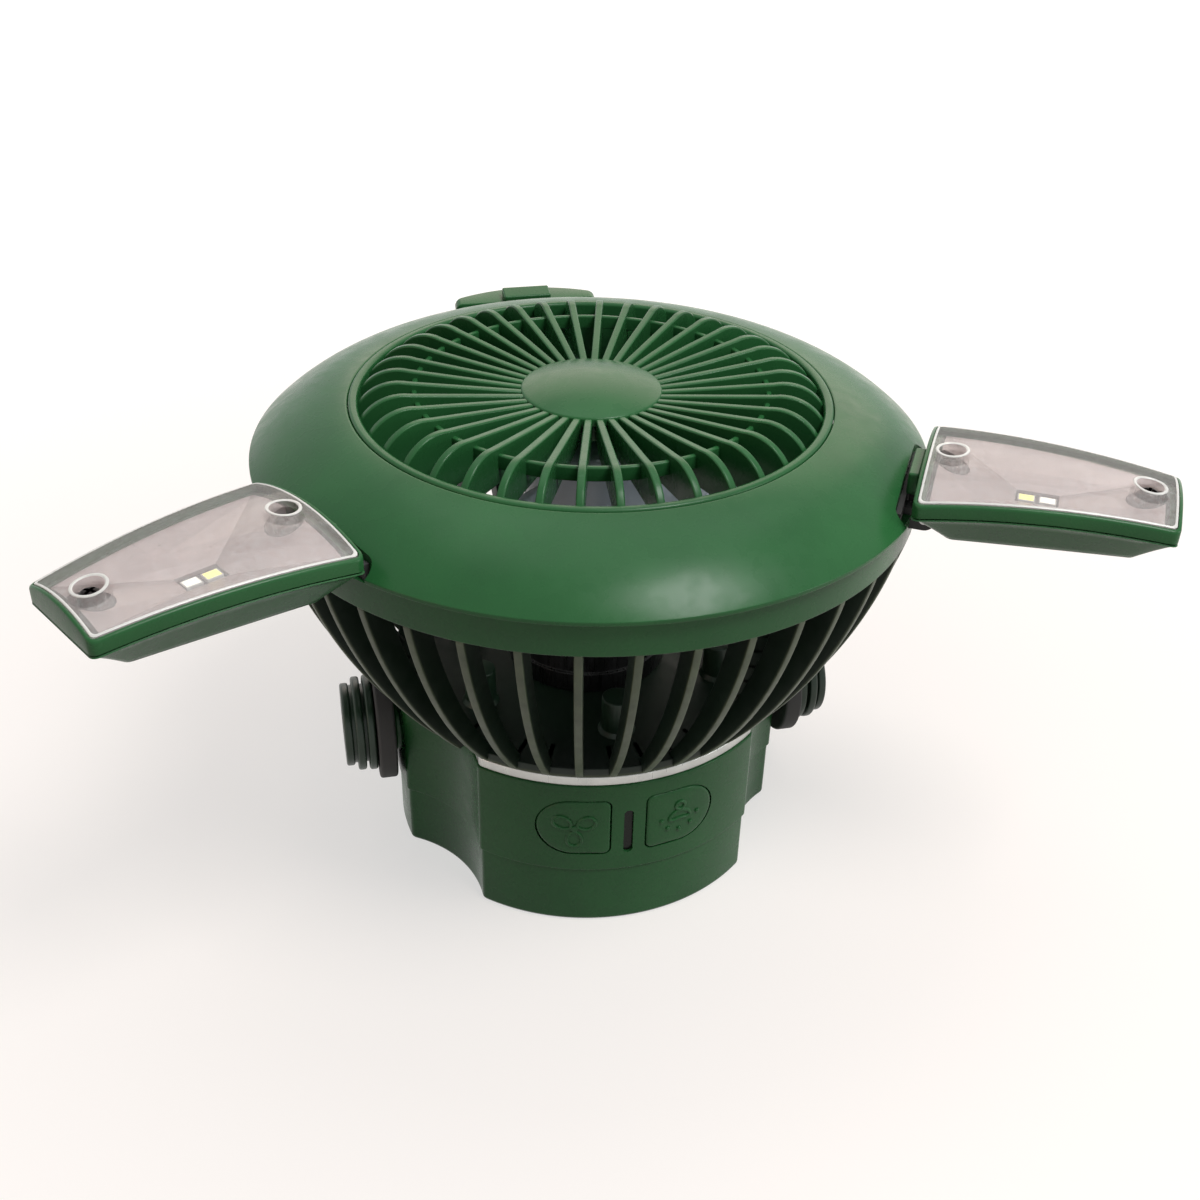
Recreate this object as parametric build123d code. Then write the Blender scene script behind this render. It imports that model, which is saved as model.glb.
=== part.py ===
from build123d import *
import math
import os

# Solar camping fan with three folding lamp leaves, a bail and two push buttons.
# Millimetres. Heights are above the foot plane, radii from the fan axis.
# The buttons face -Y, the bail's pivots lie on X, and +Z is up.

# Clearances
overrun = 6.0
part_gap = 0.3
seat_gap = 0.1
running_gap = 0.05

# Places of the three leaves round the head, and how far each is folded down at rest
leaf_azimuths = {"back": 90.0, "left": 210.0, "right": 330.0}
leaf_rest_folds = {"back": 80.0, "left": 0.0, "right": 0.0}

# Head shroud
head_radius = 75.0
head_edge_z = 103.5
head_edge_thickness = 0.9
lip_radius = 53.2
lip_z = 114.6
shroud_drop = 0.3
shoulder_crown_radius = 64.9
shoulder_crown_z = 110.6
shroud_wall = 2.4
shroud_seat_width = 3.8

# Front grille
rib_count = 40
grille_rib_phase = 3.3
grille_rib_width = 1.7
lip_width = 2.2
lip_round = 0.8
duct_bottom_z = 91.0
hub_radius = 15.6
hub_rim_z = 115.4
hub_crown_z = 117.8
hub_rim_thickness = 2.0
rib_root_z = 115.0
rib_crest_radius = 40.0
rib_crest_z = 117.9
rib_bend_radius = 47.6
rib_bend_z = 116.7
rib_end_z = 112.0
rib_bottom_z = 109.6
rib_knee_radius = 44.0
rib_toe_z = 105.1
hub_skirt = 0.6
hoop_radius = 39.4
hoop_width = 1.2
hoop_top_z = 116.4
hoop_height = 3.2

# Rear cage
band_radius = 73.2
band_wall = 2.0
band_bottom_z = 94.5
cage_rib_phase = 4.2
cage_rib_width = 1.8
cage_rib_depth = 5.0
cage_belly_radius = 66.0
cage_belly_z = 73.0
cage_foot_inset = 0.3
cage_foot_depth = 8.5
cage_floor_thickness = 2.4
boss_count = 6
boss_phase = 30.0
boss_place_radius = 33.0
boss_radius = 3.6
boss_height = 9.0
wire_hole_radius = 5.0

# Base shells and trim ring
base_radius = 47.5
base_wall = 2.3
base_top_z = 41.2
parting_z = 16.3
lower_inset = 0.5
scallop_radius = 28.0
scallop_depth = 5.9
scallop_corner = 1.8
inner_corner = 1.2
top_plate_thickness = 2.0
top_plate_hole_radius = 24.0
trim_inset = 0.4
trim_height = 2.4
trim_width = 9.5
lower_floor_z = 2.8
lower_floor_thickness = 2.0
panel_margin = 10.9
panel_recess = 0.8
base_screw_inset = 5.3
base_screw_azimuths = (30.0, 150.0, 270.0)
base_boss_radius = 3.4
upper_boss_height = 3.4

# Screws
screw_radius = 1.2
screw_head_radius = 2.3
screw_head_height = 1.8
screw_bite = 6.0
cross_width = 0.7
cross_depth = 0.8

# Motor and fan rotor
motor_radius = 19.0
motor_height = 30.0
motor_round = 2.0
motor_bush_radius = 5.0
motor_bush_height = 3.0
motor_screw_place_radius = 12.0
motor_screw_azimuths = (90.0, 270.0)
shaft_radius = 1.5
shaft_depth = 10.0
shaft_top_z = 107.0
rotor_hub_radius = 14.5
rotor_hub_bottom_z = 84.0
rotor_hub_top_z = 105.0
rotor_hub_round = 3.0
rotor_hub_wall = 2.5
blade_count = 5
blade_radius = 47.0
blade_mid_z = 95.0
blade_thickness = 1.6
blade_root_chord = 24.0
blade_tip_chord = 36.0
blade_root_pitch = 46.0
blade_tip_pitch = 27.0
cap_radius = 5.0
cap_height = 1.6

# Power pieces inside the base
cell_radius = 9.0
cell_length = 65.0
cell_pitch = 18.8
cell_cap_radius = 3.0
cell_cap_height = 1.5
tray_length = 66.0
tray_width = 38.0
tray_wing_length = 48.0
tray_wing_width = 46.0
tray_thickness = 1.2
tray_post_radius = 2.0
tray_post_top_z = 27.0
tray_post_x = 20.0
tray_post_y = 20.8
main_board_length = 62.0
main_board_width = 48.0
board_thickness = 1.6
port_width = 9.0
port_height = 3.4
port_depth = 8.0
port_wall = 0.6
port_z = 30.6
port_corner = 1.2
port_tongue_height = 0.8

# Buttons and what stands behind them
button_inner_x = 4.2
button_outer_x = 20.4
button_bottom_z = 21.6
button_top_z = 36.8
button_corner = 1.6
button_proud = 0.2
button_depth = 3.9
button_travel = 0.8
flange_width = 1.0
flange_thickness = 0.9
stem_radius = 1.8
switch_side = 6.0
switch_height = 3.0
switch_nub_radius = 1.6
switch_nub_height = 0.8
switch_board_inset = 10.7
switch_board_bottom_z = 20.4
switch_board_top_z = 37.0
indicator_width = 2.0
indicator_bottom_z = 21.4
indicator_top_z = 33.6
indicator_recess = 0.7
indicator_depth = 2.6

# Bail, its pivots and its knobs
pivot_z = 30.5
pivot_boss_radius = 7.5
pivot_boss_proud = 0.6
pivot_radius = 3.0
pivot_depth = 6.0
pivot_head_radius = 5.0
pivot_head_height = 2.0
bail_thickness = 4.2
bail_height = 12.0
bail_reach = 84.0
bail_corner = 16.0
bail_eye_radius = 14.0
knob_radius = 11.6
knob_disc_count = 3
knob_disc_thickness = 2.0
knob_groove_width = 0.7
knob_groove_depth = 1.5
knob_round = 0.6
knob_radius_shares = (1.0, 1.0, 0.87)
knob_head_pocket = 2.6

# Lamp leaf, drawn as if it lay along +X
hinge_inset = 2.2
hinge_z = 100.4
pin_radius = 1.0
knuckle_radius = 2.4
knuckle_half_width = 3.9
ear_width = 3.2
tab_half_width = 6.3
tab_reach = 2.4
tab_bottom_z = 105.2
tab_top_z = 110.2
web_inset = 0.6
web_depth = 3.2
web_top_z = 104.6
bracket_half_width = 17.0
bracket_reach = 3.4
bracket_wall = 1.2
bracket_bottom_z = 101.3
bracket_top_z = 104.9
bracket_foot_z = 97.6
pocket_corner = 2.4
leaf_inner_radius = 73.4
leaf_outer_radius = 124.9
leaf_inner_half = 19.4
leaf_outer_half = 12.2
leaf_corner_z = 109.5
leaf_bow = 1.7
leaf_inner_crest = 4.0
leaf_outer_crest = 2.5
leaf_band = 3.0
leaf_bottom_z = 100.0
leaf_side_bevel = 5.0
leaf_end_bevel = 7.2
leaf_wall = 2.2
leaf_station_shares = ((0, 0), (0.5, 1), (1, 0))
leaf_floor = 2.0
lens_inset = 0.9
lens_thickness = 1.8
lens_boss_radius = 3.8
lens_boss_bore = 2.7
lens_boss_web = 3.0
leaf_boss_z = 106.2
inner_screw_inset = 5.4
outer_screw_inset = 6.5
leaf_screw_tip_z = 103.8
lamp_place_share = 0.467
lamp_platform = 2.0
led_board_share = 0.75
led_board_width = 12.0
led_board_thickness = 1.0
chip_length = 3.5
chip_width = 2.8
chip_height = 0.8
chip_gap = 0.8
window_length = 8.8
window_width = 5.2
reflector_top_z = 107.4
reflector_floor = 0.8

# Heights and places that follow from the sizes above
rim_z = head_edge_z - head_edge_thickness
trim_top_z = base_top_z + trim_height
floor_top_z = trim_top_z + cage_floor_thickness
motor_top_z = floor_top_z + motor_height
lower_top_z = lower_floor_z + lower_floor_thickness
cell_z = lower_top_z + tray_thickness + seat_gap + cell_radius
cage_foot_radius = base_radius - cage_foot_inset
scallop_bottom_radius = base_radius - scallop_depth
trim_hole_radius = base_radius - trim_width
panel_radius = base_radius - panel_margin
base_screw_place_radius = base_radius - base_screw_inset
switch_board_front = base_radius - switch_board_inset
pivot_boss_x = base_radius + pivot_boss_proud
bail_inner_x = pivot_boss_x + part_gap
knob_x = bail_inner_x + bail_thickness + part_gap
knob_length = knob_disc_count * knob_disc_thickness + (knob_disc_count - 1) * knob_groove_width
hinge_radius = leaf_inner_radius + hinge_inset
tab_radius = leaf_inner_radius - tab_reach
web_radius = leaf_inner_radius + web_inset
bracket_back_radius = leaf_inner_radius - bracket_reach
leaf_screw_radii = (leaf_inner_radius + inner_screw_inset, leaf_outer_radius - outer_screw_inset)
leaf_screw_span = leaf_screw_radii[1] - leaf_screw_radii[0]
led_radius = leaf_screw_radii[0] + lamp_place_share * leaf_screw_span
led_board_length = led_board_share * (leaf_screw_span - 2 * lens_boss_radius - 2 * part_gap)
leaf_floor_z = leaf_bottom_z + leaf_floor
lamp_z = leaf_floor_z + lamp_platform
chip_z = lamp_z + led_board_thickness
pocket_half_width = bracket_half_width + seat_gap
ear_start = knuckle_half_width + part_gap
ear_end = ear_start + ear_width


def meridian_face(start, *steps):
    """Face in the XZ plane from (radius, height) points; a step of two points is an arc."""
    edges = []
    here = start
    for step in (*steps, start):
        if isinstance(step[0], tuple):
            via, end = step
            edges.append(ThreePointArc((here[0], 0, here[1]), (via[0], 0, via[1]), (end[0], 0, end[1])))
        else:
            end = step
            edges.append(Line((here[0], 0, here[1]), (end[0], 0, end[1])))
        here = end
    return make_face(edges)


def turned(start, *steps):
    """Solid of revolution about the fan axis."""
    return revolve(meridian_face(start, *steps), Axis.Z, 360)


def upright(sketch, bottom, top):
    """Prism of a plan between two heights."""
    return extrude(Pos(0, 0, bottom) * sketch, amount=top - bottom)


def rod(radius, bottom, top):
    """Cylinder on the fan axis between two heights."""
    return Pos(0, 0, (bottom + top) / 2) * Cylinder(radius, top - bottom)


def block(x_range, y_range, z_range):
    """Box between three pairs of limits."""
    spans = [(low + high) / 2 for low, high in (x_range, y_range, z_range)]
    sides = [high - low for low, high in (x_range, y_range, z_range)]
    return Pos(*spans) * Box(*sides)


def around(azimuth, radius=0.0):
    """Place at an azimuth and radius, turned to face outwards."""
    return Rot(0, 0, azimuth) * Pos(radius, 0, 0)


def frontal(sketch, near, far):
    """Prism of a front-view sketch between two distances in front of the axis."""
    return extrude(Plane.XZ.offset(near) * sketch, amount=far - near)


def along_x(solid, side):
    """Turn a solid from the fan axis to the bail's pivot axis, on one side."""
    return Pos(0, 0, pivot_z) * Rot(0, 90 * side, 0) * solid


def screw(head_z, tip_z):
    """Cross-head screw on the fan axis; its head is at the end away from the tip."""
    away = math.copysign(1, head_z - tip_z)
    top_z = head_z + away * screw_head_height
    body = rod(screw_radius, min(head_z, tip_z), max(head_z, tip_z))
    body += rod(screw_head_radius, min(head_z, top_z), max(head_z, top_z))
    arm = screw_head_radius + screw_radius
    for length, width in ((arm, cross_width), (cross_width, arm)):
        body -= Pos(0, 0, top_z) * Box(length, width, 2 * cross_depth)
    return body


def base_plan(radius, inset, corner):
    """Round plan with a concave scallop under each leaf."""
    plan = Circle(radius - inset)
    for azimuth in leaf_azimuths.values():
        place = around(azimuth, scallop_bottom_radius + scallop_radius)
        plan -= place * Circle(scallop_radius + inset)
    corners = [v for v in plan.vertices() if abs(v.Y) > corner]
    return fillet(corners, corner)


def at_leaves(solid):
    """One copy of a solid at each leaf's azimuth."""
    return [Rot(0, 0, azimuth) * solid for azimuth in leaf_azimuths.values()]


def leaf_notch():
    """Space that is cut from the head's rim for a hinge bracket: a wide pocket over a narrow slot."""
    reach = leaf_inner_radius + overrun - bracket_back_radius
    pocket = Rectangle(2 * reach, 2 * pocket_half_width)
    pocket = fillet(pocket.vertices(), pocket_corner)
    top_z = shoulder_crown_z
    notch = Pos(bracket_back_radius + reach, 0) * upright(pocket, bracket_bottom_z - seat_gap, top_z)
    slot_half = ear_end + seat_gap
    depths = (bracket_back_radius, leaf_inner_radius + overrun)
    return notch + block(depths, (-slot_half, slot_half), (bracket_foot_z - seat_gap, top_z))


def top_shroud():
    inner_z = lip_z - shroud_drop
    shroud = turned(
        (lip_radius, inner_z),
        ((shoulder_crown_radius, shoulder_crown_z), (head_radius, head_edge_z)),
        (head_radius, rim_z),
        (head_radius - shroud_seat_width, rim_z),
        ((shoulder_crown_radius - shroud_wall / 2, shoulder_crown_z - shroud_wall),
         (lip_radius, inner_z - shroud_wall)),
    )
    for notch in at_leaves(leaf_notch()):
        shroud -= notch
    return shroud


def grille_rib():
    root = hub_radius - lip_width
    end = lip_radius - lip_width
    profile = meridian_face(
        (root, rib_root_z),
        (rib_crest_radius, rib_crest_z),
        ((rib_bend_radius, rib_bend_z), (end + lip_round, rib_end_z)),
        (end + lip_round, rib_toe_z),
        (rib_knee_radius, rib_bottom_z),
        (root, rib_bottom_z),
    )
    return extrude(profile, amount=grille_rib_width / 2, dir=(0, 1, 0), both=True)


def hub_dome_z(radius):
    """Height of the hub's domed top, a part of a sphere, at a radius."""
    rise = hub_crown_z - hub_rim_z
    sphere = (hub_radius ** 2 + rise ** 2) / (2 * rise)
    return hub_crown_z - sphere + math.sqrt(sphere ** 2 - radius ** 2)


def front_grille():
    ring = rod(lip_radius - seat_gap, duct_bottom_z, lip_z)
    ring -= rod(lip_radius - lip_width, duct_bottom_z - overrun, lip_z + overrun)
    ring = fillet(ring.edges().group_by(Axis.Z)[-1], lip_round)
    hub = turned(
        (0, rib_bottom_z - hub_skirt),
        (hub_radius - hub_rim_thickness, rib_bottom_z - hub_skirt),
        (hub_radius - hub_rim_thickness, hub_rim_z - hub_rim_thickness),
        (hub_radius, hub_rim_z - hub_rim_thickness),
        (hub_radius, hub_rim_z),
        ((hub_radius / 2, hub_dome_z(hub_radius / 2)), (0, hub_crown_z)),
    )
    hoop = rod(hoop_radius, hoop_top_z - hoop_height, hoop_top_z)
    hoop -= rod(hoop_radius - hoop_width, rib_bottom_z - overrun, hoop_top_z + overrun)
    rib = grille_rib()
    ribs = [around(grille_rib_phase + 360 / rib_count * k) * rib for k in range(rib_count)]
    return ring + [hub, hoop, *ribs]


def cage_rib():
    head = band_radius - band_wall / 2
    inner_head = head - cage_rib_depth
    top = band_bottom_z + band_wall
    foot_z = trim_top_z + seat_gap
    toe = cage_foot_radius - cage_foot_depth
    profile = meridian_face(
        (head, top),
        (band_radius, band_bottom_z),
        ((cage_belly_radius, cage_belly_z), (cage_foot_radius, foot_z)),
        (toe, foot_z),
        (toe, floor_top_z),
        (cage_foot_radius - cage_rib_depth / 2, floor_top_z),
        ((cage_belly_radius - cage_rib_depth, cage_belly_z + cage_rib_depth / 2), (inner_head, top)),
    )
    return extrude(profile, amount=cage_rib_width / 2, dir=(0, 1, 0), both=True)


def rear_cage():
    band = rod(band_radius, band_bottom_z, rim_z)
    band -= rod(band_radius - band_wall, band_bottom_z - overrun, rim_z + overrun)
    for notch in at_leaves(leaf_notch()):
        band -= notch
    floor = upright(base_plan(base_radius, trim_inset, scallop_corner), trim_top_z, floor_top_z)
    floor -= rod(wire_hole_radius, trim_top_z - overrun, floor_top_z + overrun)
    rib = cage_rib()
    ribs = [around(cage_rib_phase + 360 / rib_count * k) * rib for k in range(rib_count)]
    bosses = [at * rod(boss_radius, floor_top_z, floor_top_z + boss_height) for at in boss_places()]
    cage = floor + [band, *bosses, *ribs]
    for at in boss_places():
        hole_top_z = trim_top_z + screw_bite + seat_gap
        cage -= at * rod(screw_radius + running_gap, trim_top_z - overrun, hole_top_z)
    for at in motor_screw_places():
        cage -= at * rod(screw_radius + running_gap, trim_top_z - overrun, floor_top_z + overrun)
    return cage


def boss_places():
    return [around(boss_phase + 360 / boss_count * k, boss_place_radius) for k in range(boss_count)]


def motor_screw_places():
    return [around(azimuth, motor_screw_place_radius) for azimuth in motor_screw_azimuths]


def base_screw_places():
    return [around(azimuth, base_screw_place_radius) for azimuth in base_screw_azimuths]


def trim_ring():
    ring = upright(base_plan(base_radius, trim_inset, scallop_corner), base_top_z, trim_top_z)
    return ring - rod(trim_hole_radius, base_top_z - overrun, trim_top_z + overrun)


def button_sketch(side, grow):
    """Front view of a button: square inner corners, half-round outer end."""
    height = button_top_z - button_bottom_z + 2 * grow
    middle_z = (button_top_z + button_bottom_z) / 2
    round_x = button_outer_x + grow - height / 2
    inner_x = button_inner_x - grow
    body = Pos((inner_x + round_x) / 2, middle_z) * Rectangle(round_x - inner_x, height)
    body += Pos(round_x, middle_z) * Circle(height / 2)
    corners = [v for v in body.vertices() if v.X < round_x - part_gap]
    body = fillet(corners, button_corner + grow)
    return body if side > 0 else mirror(body, about=Plane.YZ)


def wall_ring(inner, outer):
    """Ring about the axis that gives curved front pieces their faces."""
    return rod(outer, 0, base_top_z) - rod(inner, -overrun, base_top_z + overrun)


def indicator_sketch(grow):
    middle_z = (indicator_bottom_z + indicator_top_z) / 2
    length = indicator_top_z - indicator_bottom_z + 2 * grow
    return Pos(0, middle_z) * SlotOverall(length, indicator_width + 2 * grow, rotation=90)


def port_sketch(grow):
    width = port_width + 2 * grow
    return Pos(0, port_z) * RectangleRounded(width, port_height + 2 * grow, port_corner + grow)


def base_upper_shell():
    shell = upright(base_plan(base_radius, 0, scallop_corner), parting_z, base_top_z)
    plate_z = base_top_z - top_plate_thickness
    shell -= upright(base_plan(base_radius, base_wall, inner_corner), parting_z - overrun, plate_z)
    shell -= rod(top_plate_hole_radius, plate_z - overrun, base_top_z + overrun)
    for side in (-1, 1):
        boss = rod(pivot_boss_radius, base_radius - base_wall, pivot_boss_x)
        shell += along_x(boss, side)
        shell -= along_x(rod(pivot_radius, base_radius - base_wall - overrun, pivot_boss_x + overrun), side)
        shell -= frontal(button_sketch(side, part_gap), switch_board_front, base_radius + overrun)
    shell -= frontal(indicator_sketch(seat_gap), switch_board_front, base_radius + overrun)
    shell -= frontal(port_sketch(seat_gap), -base_radius, port_depth - scallop_bottom_radius)
    for at in base_screw_places():
        shell += at * rod(base_boss_radius, parting_z, parting_z + upper_boss_height)
        shell -= at * rod(screw_radius + running_gap, parting_z - overrun, parting_z + upper_boss_height)
    for at in boss_places():
        shell -= at * rod(screw_radius + running_gap, plate_z - overrun, base_top_z + overrun)
    return shell


def base_lower_shell():
    inset = lower_inset
    shell = upright(base_plan(base_radius, inset, scallop_corner), 0, parting_z)
    hollow = base_plan(base_radius, inset + base_wall, inner_corner)
    shell -= upright(hollow, lower_top_z, parting_z + overrun)
    shell -= rod(panel_radius + seat_gap, -overrun, lower_floor_z)
    for at in base_screw_places():
        head_z = base_screw_head_z()
        shell += at * rod(base_boss_radius, lower_top_z, parting_z)
        shell -= at * rod(screw_radius + running_gap, -overrun, parting_z + overrun)
        shell -= at * rod(screw_head_radius + seat_gap, -overrun, head_z)
    return shell


def base_screw_head_z():
    return parting_z + upper_boss_height - seat_gap - 2 * screw_bite


def solar_panel():
    return rod(panel_radius, panel_recess, lower_floor_z)


def base_screws():
    tip_z = parting_z + upper_boss_height - seat_gap
    return [at * screw(base_screw_head_z(), tip_z) for at in base_screw_places()]


def cage_screws():
    head_z = base_top_z - top_plate_thickness
    return [at * screw(head_z, trim_top_z + screw_bite) for at in boss_places()]


def motor_screws():
    return [at * screw(trim_top_z, floor_top_z + screw_bite) for at in motor_screw_places()]


def motor_can():
    can = rod(motor_radius, floor_top_z, motor_top_z)
    can = fillet(can.edges().group_by(Axis.Z)[-1], motor_round)
    can += rod(motor_bush_radius, motor_top_z, motor_top_z + motor_bush_height)
    can -= rod(shaft_radius + running_gap, motor_top_z - shaft_depth - part_gap, motor_top_z + overrun)
    for at in motor_screw_places():
        hole_top_z = floor_top_z + screw_bite + seat_gap
        can -= at * rod(screw_radius + running_gap, floor_top_z - overrun, hole_top_z)
    return can


def motor_shaft():
    return rod(shaft_radius, motor_top_z - shaft_depth, shaft_top_z)


def blade_section(radius, chord, pitch):
    """Cut through a blade, square to its span."""
    plane = Plane(origin=(radius, 0, blade_mid_z), x_dir=(0, 1, 0), z_dir=(1, 0, 0))
    return plane * (Rot(0, 0, pitch) * RectangleRounded(chord, blade_thickness, blade_thickness / 3))


def impeller():
    hub = rod(rotor_hub_radius, rotor_hub_bottom_z, rotor_hub_top_z)
    hub = fillet(hub.edges().group_by(Axis.Z)[-1], rotor_hub_round)
    hollow = rotor_hub_radius - rotor_hub_wall
    hub -= rod(hollow, rotor_hub_bottom_z - overrun, rotor_hub_top_z - 2 * rotor_hub_wall)
    hub += rod(motor_bush_radius, rotor_hub_bottom_z, rotor_hub_top_z - rotor_hub_wall)
    root = rotor_hub_radius - rotor_hub_wall / 2
    blade = loft([
        blade_section(root, blade_root_chord, blade_root_pitch),
        blade_section(blade_radius + overrun, blade_tip_chord, blade_tip_pitch),
    ], ruled=True)
    blade &= rod(blade_radius, band_bottom_z - blade_tip_chord, band_bottom_z + blade_tip_chord)
    hub += [around(360 / blade_count * k) * blade for k in range(blade_count)]
    return hub - rod(shaft_radius + running_gap / 2, rotor_hub_bottom_z - overrun, rotor_hub_top_z + overrun)


def shaft_cap():
    cap = rod(cap_radius, rotor_hub_top_z, shaft_top_z + cap_height)
    cap = fillet(cap.edges().group_by(Axis.Z)[-1], cap_height / 2)
    return cap - rod(shaft_radius + running_gap / 2, rotor_hub_top_z - overrun, shaft_top_z)


def battery_tray():
    plan = Rectangle(tray_length, tray_width) + Rectangle(tray_wing_length, tray_wing_width)
    tray = upright(plan, lower_top_z, lower_top_z + tray_thickness)
    posts = [Pos(x, y) * rod(tray_post_radius, lower_top_z, tray_post_top_z)
             for x in (-tray_post_x, tray_post_x) for y in (-tray_post_y, tray_post_y)]
    return tray + posts


def battery_cells():
    cell = Cylinder(cell_radius, cell_length - cell_cap_height)
    cell += Pos(0, 0, cell_length / 2) * Cylinder(cell_cap_radius, cell_cap_height)
    return [Pos(0, side * cell_pitch / 2, cell_z) * Rot(0, 90 * side, 0) * cell for side in (-1, 1)]


def main_board():
    plan = Rectangle(main_board_length, main_board_width)
    return upright(plan, tray_post_top_z, tray_post_top_z + board_thickness)


def charge_port():
    mouth = port_depth - scallop_bottom_radius - seat_gap
    port = frontal(port_sketch(0), -scallop_bottom_radius - seat_gap, mouth)
    port -= frontal(port_sketch(-port_wall), -base_radius, mouth - port_wall)
    tongue = RectangleRounded(port_width / 2, port_tongue_height, port_tongue_height / 3)
    return port + frontal(Pos(0, port_z) * tongue, -scallop_bottom_radius + port_wall, mouth)


def button(side):
    face = base_radius + button_proud
    back = face - button_depth
    flange_back = base_radius - base_wall - part_gap - flange_thickness
    sketch = button_sketch(side, 0)
    middle_x = side * (button_inner_x + button_outer_x) / 2
    middle_z = (button_bottom_z + button_top_z) / 2
    body = frontal(sketch, switch_board_front, face) & wall_ring(back, face)
    flange = frontal(button_sketch(side, flange_width), switch_board_front, face)
    body += flange & wall_ring(flange_back, flange_back + flange_thickness)
    stem_end = switch_board_front + switch_height + switch_nub_height + button_travel + part_gap
    stem_root = math.sqrt(back ** 2 - middle_x ** 2)
    return body + frontal(Pos(middle_x, middle_z) * Circle(stem_radius), stem_end, stem_root)


def indicator_window():
    face = base_radius - indicator_recess
    bar = frontal(indicator_sketch(0), switch_board_front, base_radius)
    return bar & wall_ring(face - indicator_depth, face)


def switch_board():
    inner = base_radius - base_wall
    half = math.sqrt(inner ** 2 - switch_board_front ** 2) - part_gap
    rear = switch_board_front - board_thickness
    return block((-half, half), (-switch_board_front, -rear), (switch_board_bottom_z, switch_board_top_z))


def button_switches():
    middle_x = (button_inner_x + button_outer_x) / 2
    middle_z = (button_bottom_z + button_top_z) / 2
    front = switch_board_front + switch_height
    switches = []
    for x in (-middle_x, middle_x):
        body = frontal(Pos(x, middle_z) * Rectangle(switch_side, switch_side), switch_board_front, front)
        nub = Pos(x, middle_z) * Circle(switch_nub_radius)
        switches.append(body + frontal(nub, front, front + switch_nub_height))
    return switches


def bail():
    outer_x = bail_inner_x + bail_thickness
    inner_y = bail_reach - bail_thickness
    outer = RectangleRounded(2 * outer_x, 2 * bail_reach, bail_corner)
    inner = RectangleRounded(2 * bail_inner_x, 2 * inner_y, bail_corner - bail_thickness)
    strap = upright(outer - inner, pivot_z - bail_height / 2, pivot_z + bail_height / 2)
    strap &= block((-outer_x, outer_x), (0, bail_reach), (0, base_top_z))
    for side in (-1, 1):
        strap += along_x(rod(bail_eye_radius, bail_inner_x, outer_x), side)
        strap -= along_x(rod(pivot_radius + running_gap, bail_inner_x - overrun, outer_x + overrun), side)
    return strap


def knob(side):
    body = rod(knob_radius - knob_groove_depth - knob_round, knob_x, knob_x + knob_length)
    for k, share in enumerate(knob_radius_shares):
        low = knob_x + k * (knob_disc_thickness + knob_groove_width)
        disc = rod(knob_radius * share, low, low + knob_disc_thickness)
        body += fillet(disc.edges().filter_by(GeomType.CIRCLE), knob_round)
    body -= rod(pivot_radius + running_gap, knob_x - overrun, knob_x + knob_length + overrun)
    pocket_x = knob_x + knob_length - knob_head_pocket
    body -= rod(pivot_head_radius + part_gap, pocket_x, knob_x + knob_length + overrun)
    return along_x(body, side)


def pivot_screws():
    head_x = knob_x + knob_length - knob_head_pocket + part_gap
    screws = []
    for side in (-1, 1):
        body = rod(pivot_radius - running_gap, base_radius - base_wall - pivot_depth, head_x)
        body += rod(pivot_head_radius, head_x, head_x + pivot_head_height)
        nut = rod(pivot_head_radius, base_radius - base_wall - pivot_depth, base_radius - 2 * base_wall)
        screws.append(along_x(body + nut, side))
    return screws


def leaf_stations(inset, lift):
    """Half-width, corner height, crest and place of the leaf's three cross-sections."""
    rows = []
    for share, bow_share in leaf_station_shares:
        place = leaf_inner_radius + inset + share * (leaf_outer_radius - leaf_inner_radius - 2 * inset)
        full = (place - leaf_inner_radius) / (leaf_outer_radius - leaf_inner_radius)
        half = leaf_inner_half + full * (leaf_outer_half - leaf_inner_half) - inset
        crest = leaf_inner_crest + full * (leaf_outer_crest - leaf_inner_crest)
        rows.append((place, half, leaf_corner_z + bow_share * leaf_bow + lift, crest))
    return rows


def arched_slab(inset, lift, depth, flat_bottom):
    """Length of the leaf with an arched top; its underside is flat or arched alike."""
    faces = []
    for place, half, corner_z, crest in leaf_stations(inset, lift):
        low = corner_z - depth
        left, right = (place, -half, corner_z), (place, half, corner_z)
        low_left, low_right = (place, -half, low), (place, half, low)
        bottom = Line(low_right, low_left)
        if not flat_bottom:
            bottom = ThreePointArc(low_right, (place, 0, low + crest), low_left)
        top = ThreePointArc(left, (place, 0, corner_z + crest), right)
        faces.append(make_face([top, Line(right, low_right), bottom, Line(low_left, left)]))
    return loft(faces)


def leaf_plan(inset):
    """Plan of the leaf, tapering outwards, drawn in from its edge."""
    stations = leaf_stations(inset, 0)
    first, near = stations[0][:2]
    last, far = stations[-1][:2]
    return make_face(Polyline((first, -near), (last, -far), (last, far), (first, near), close=True))


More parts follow.
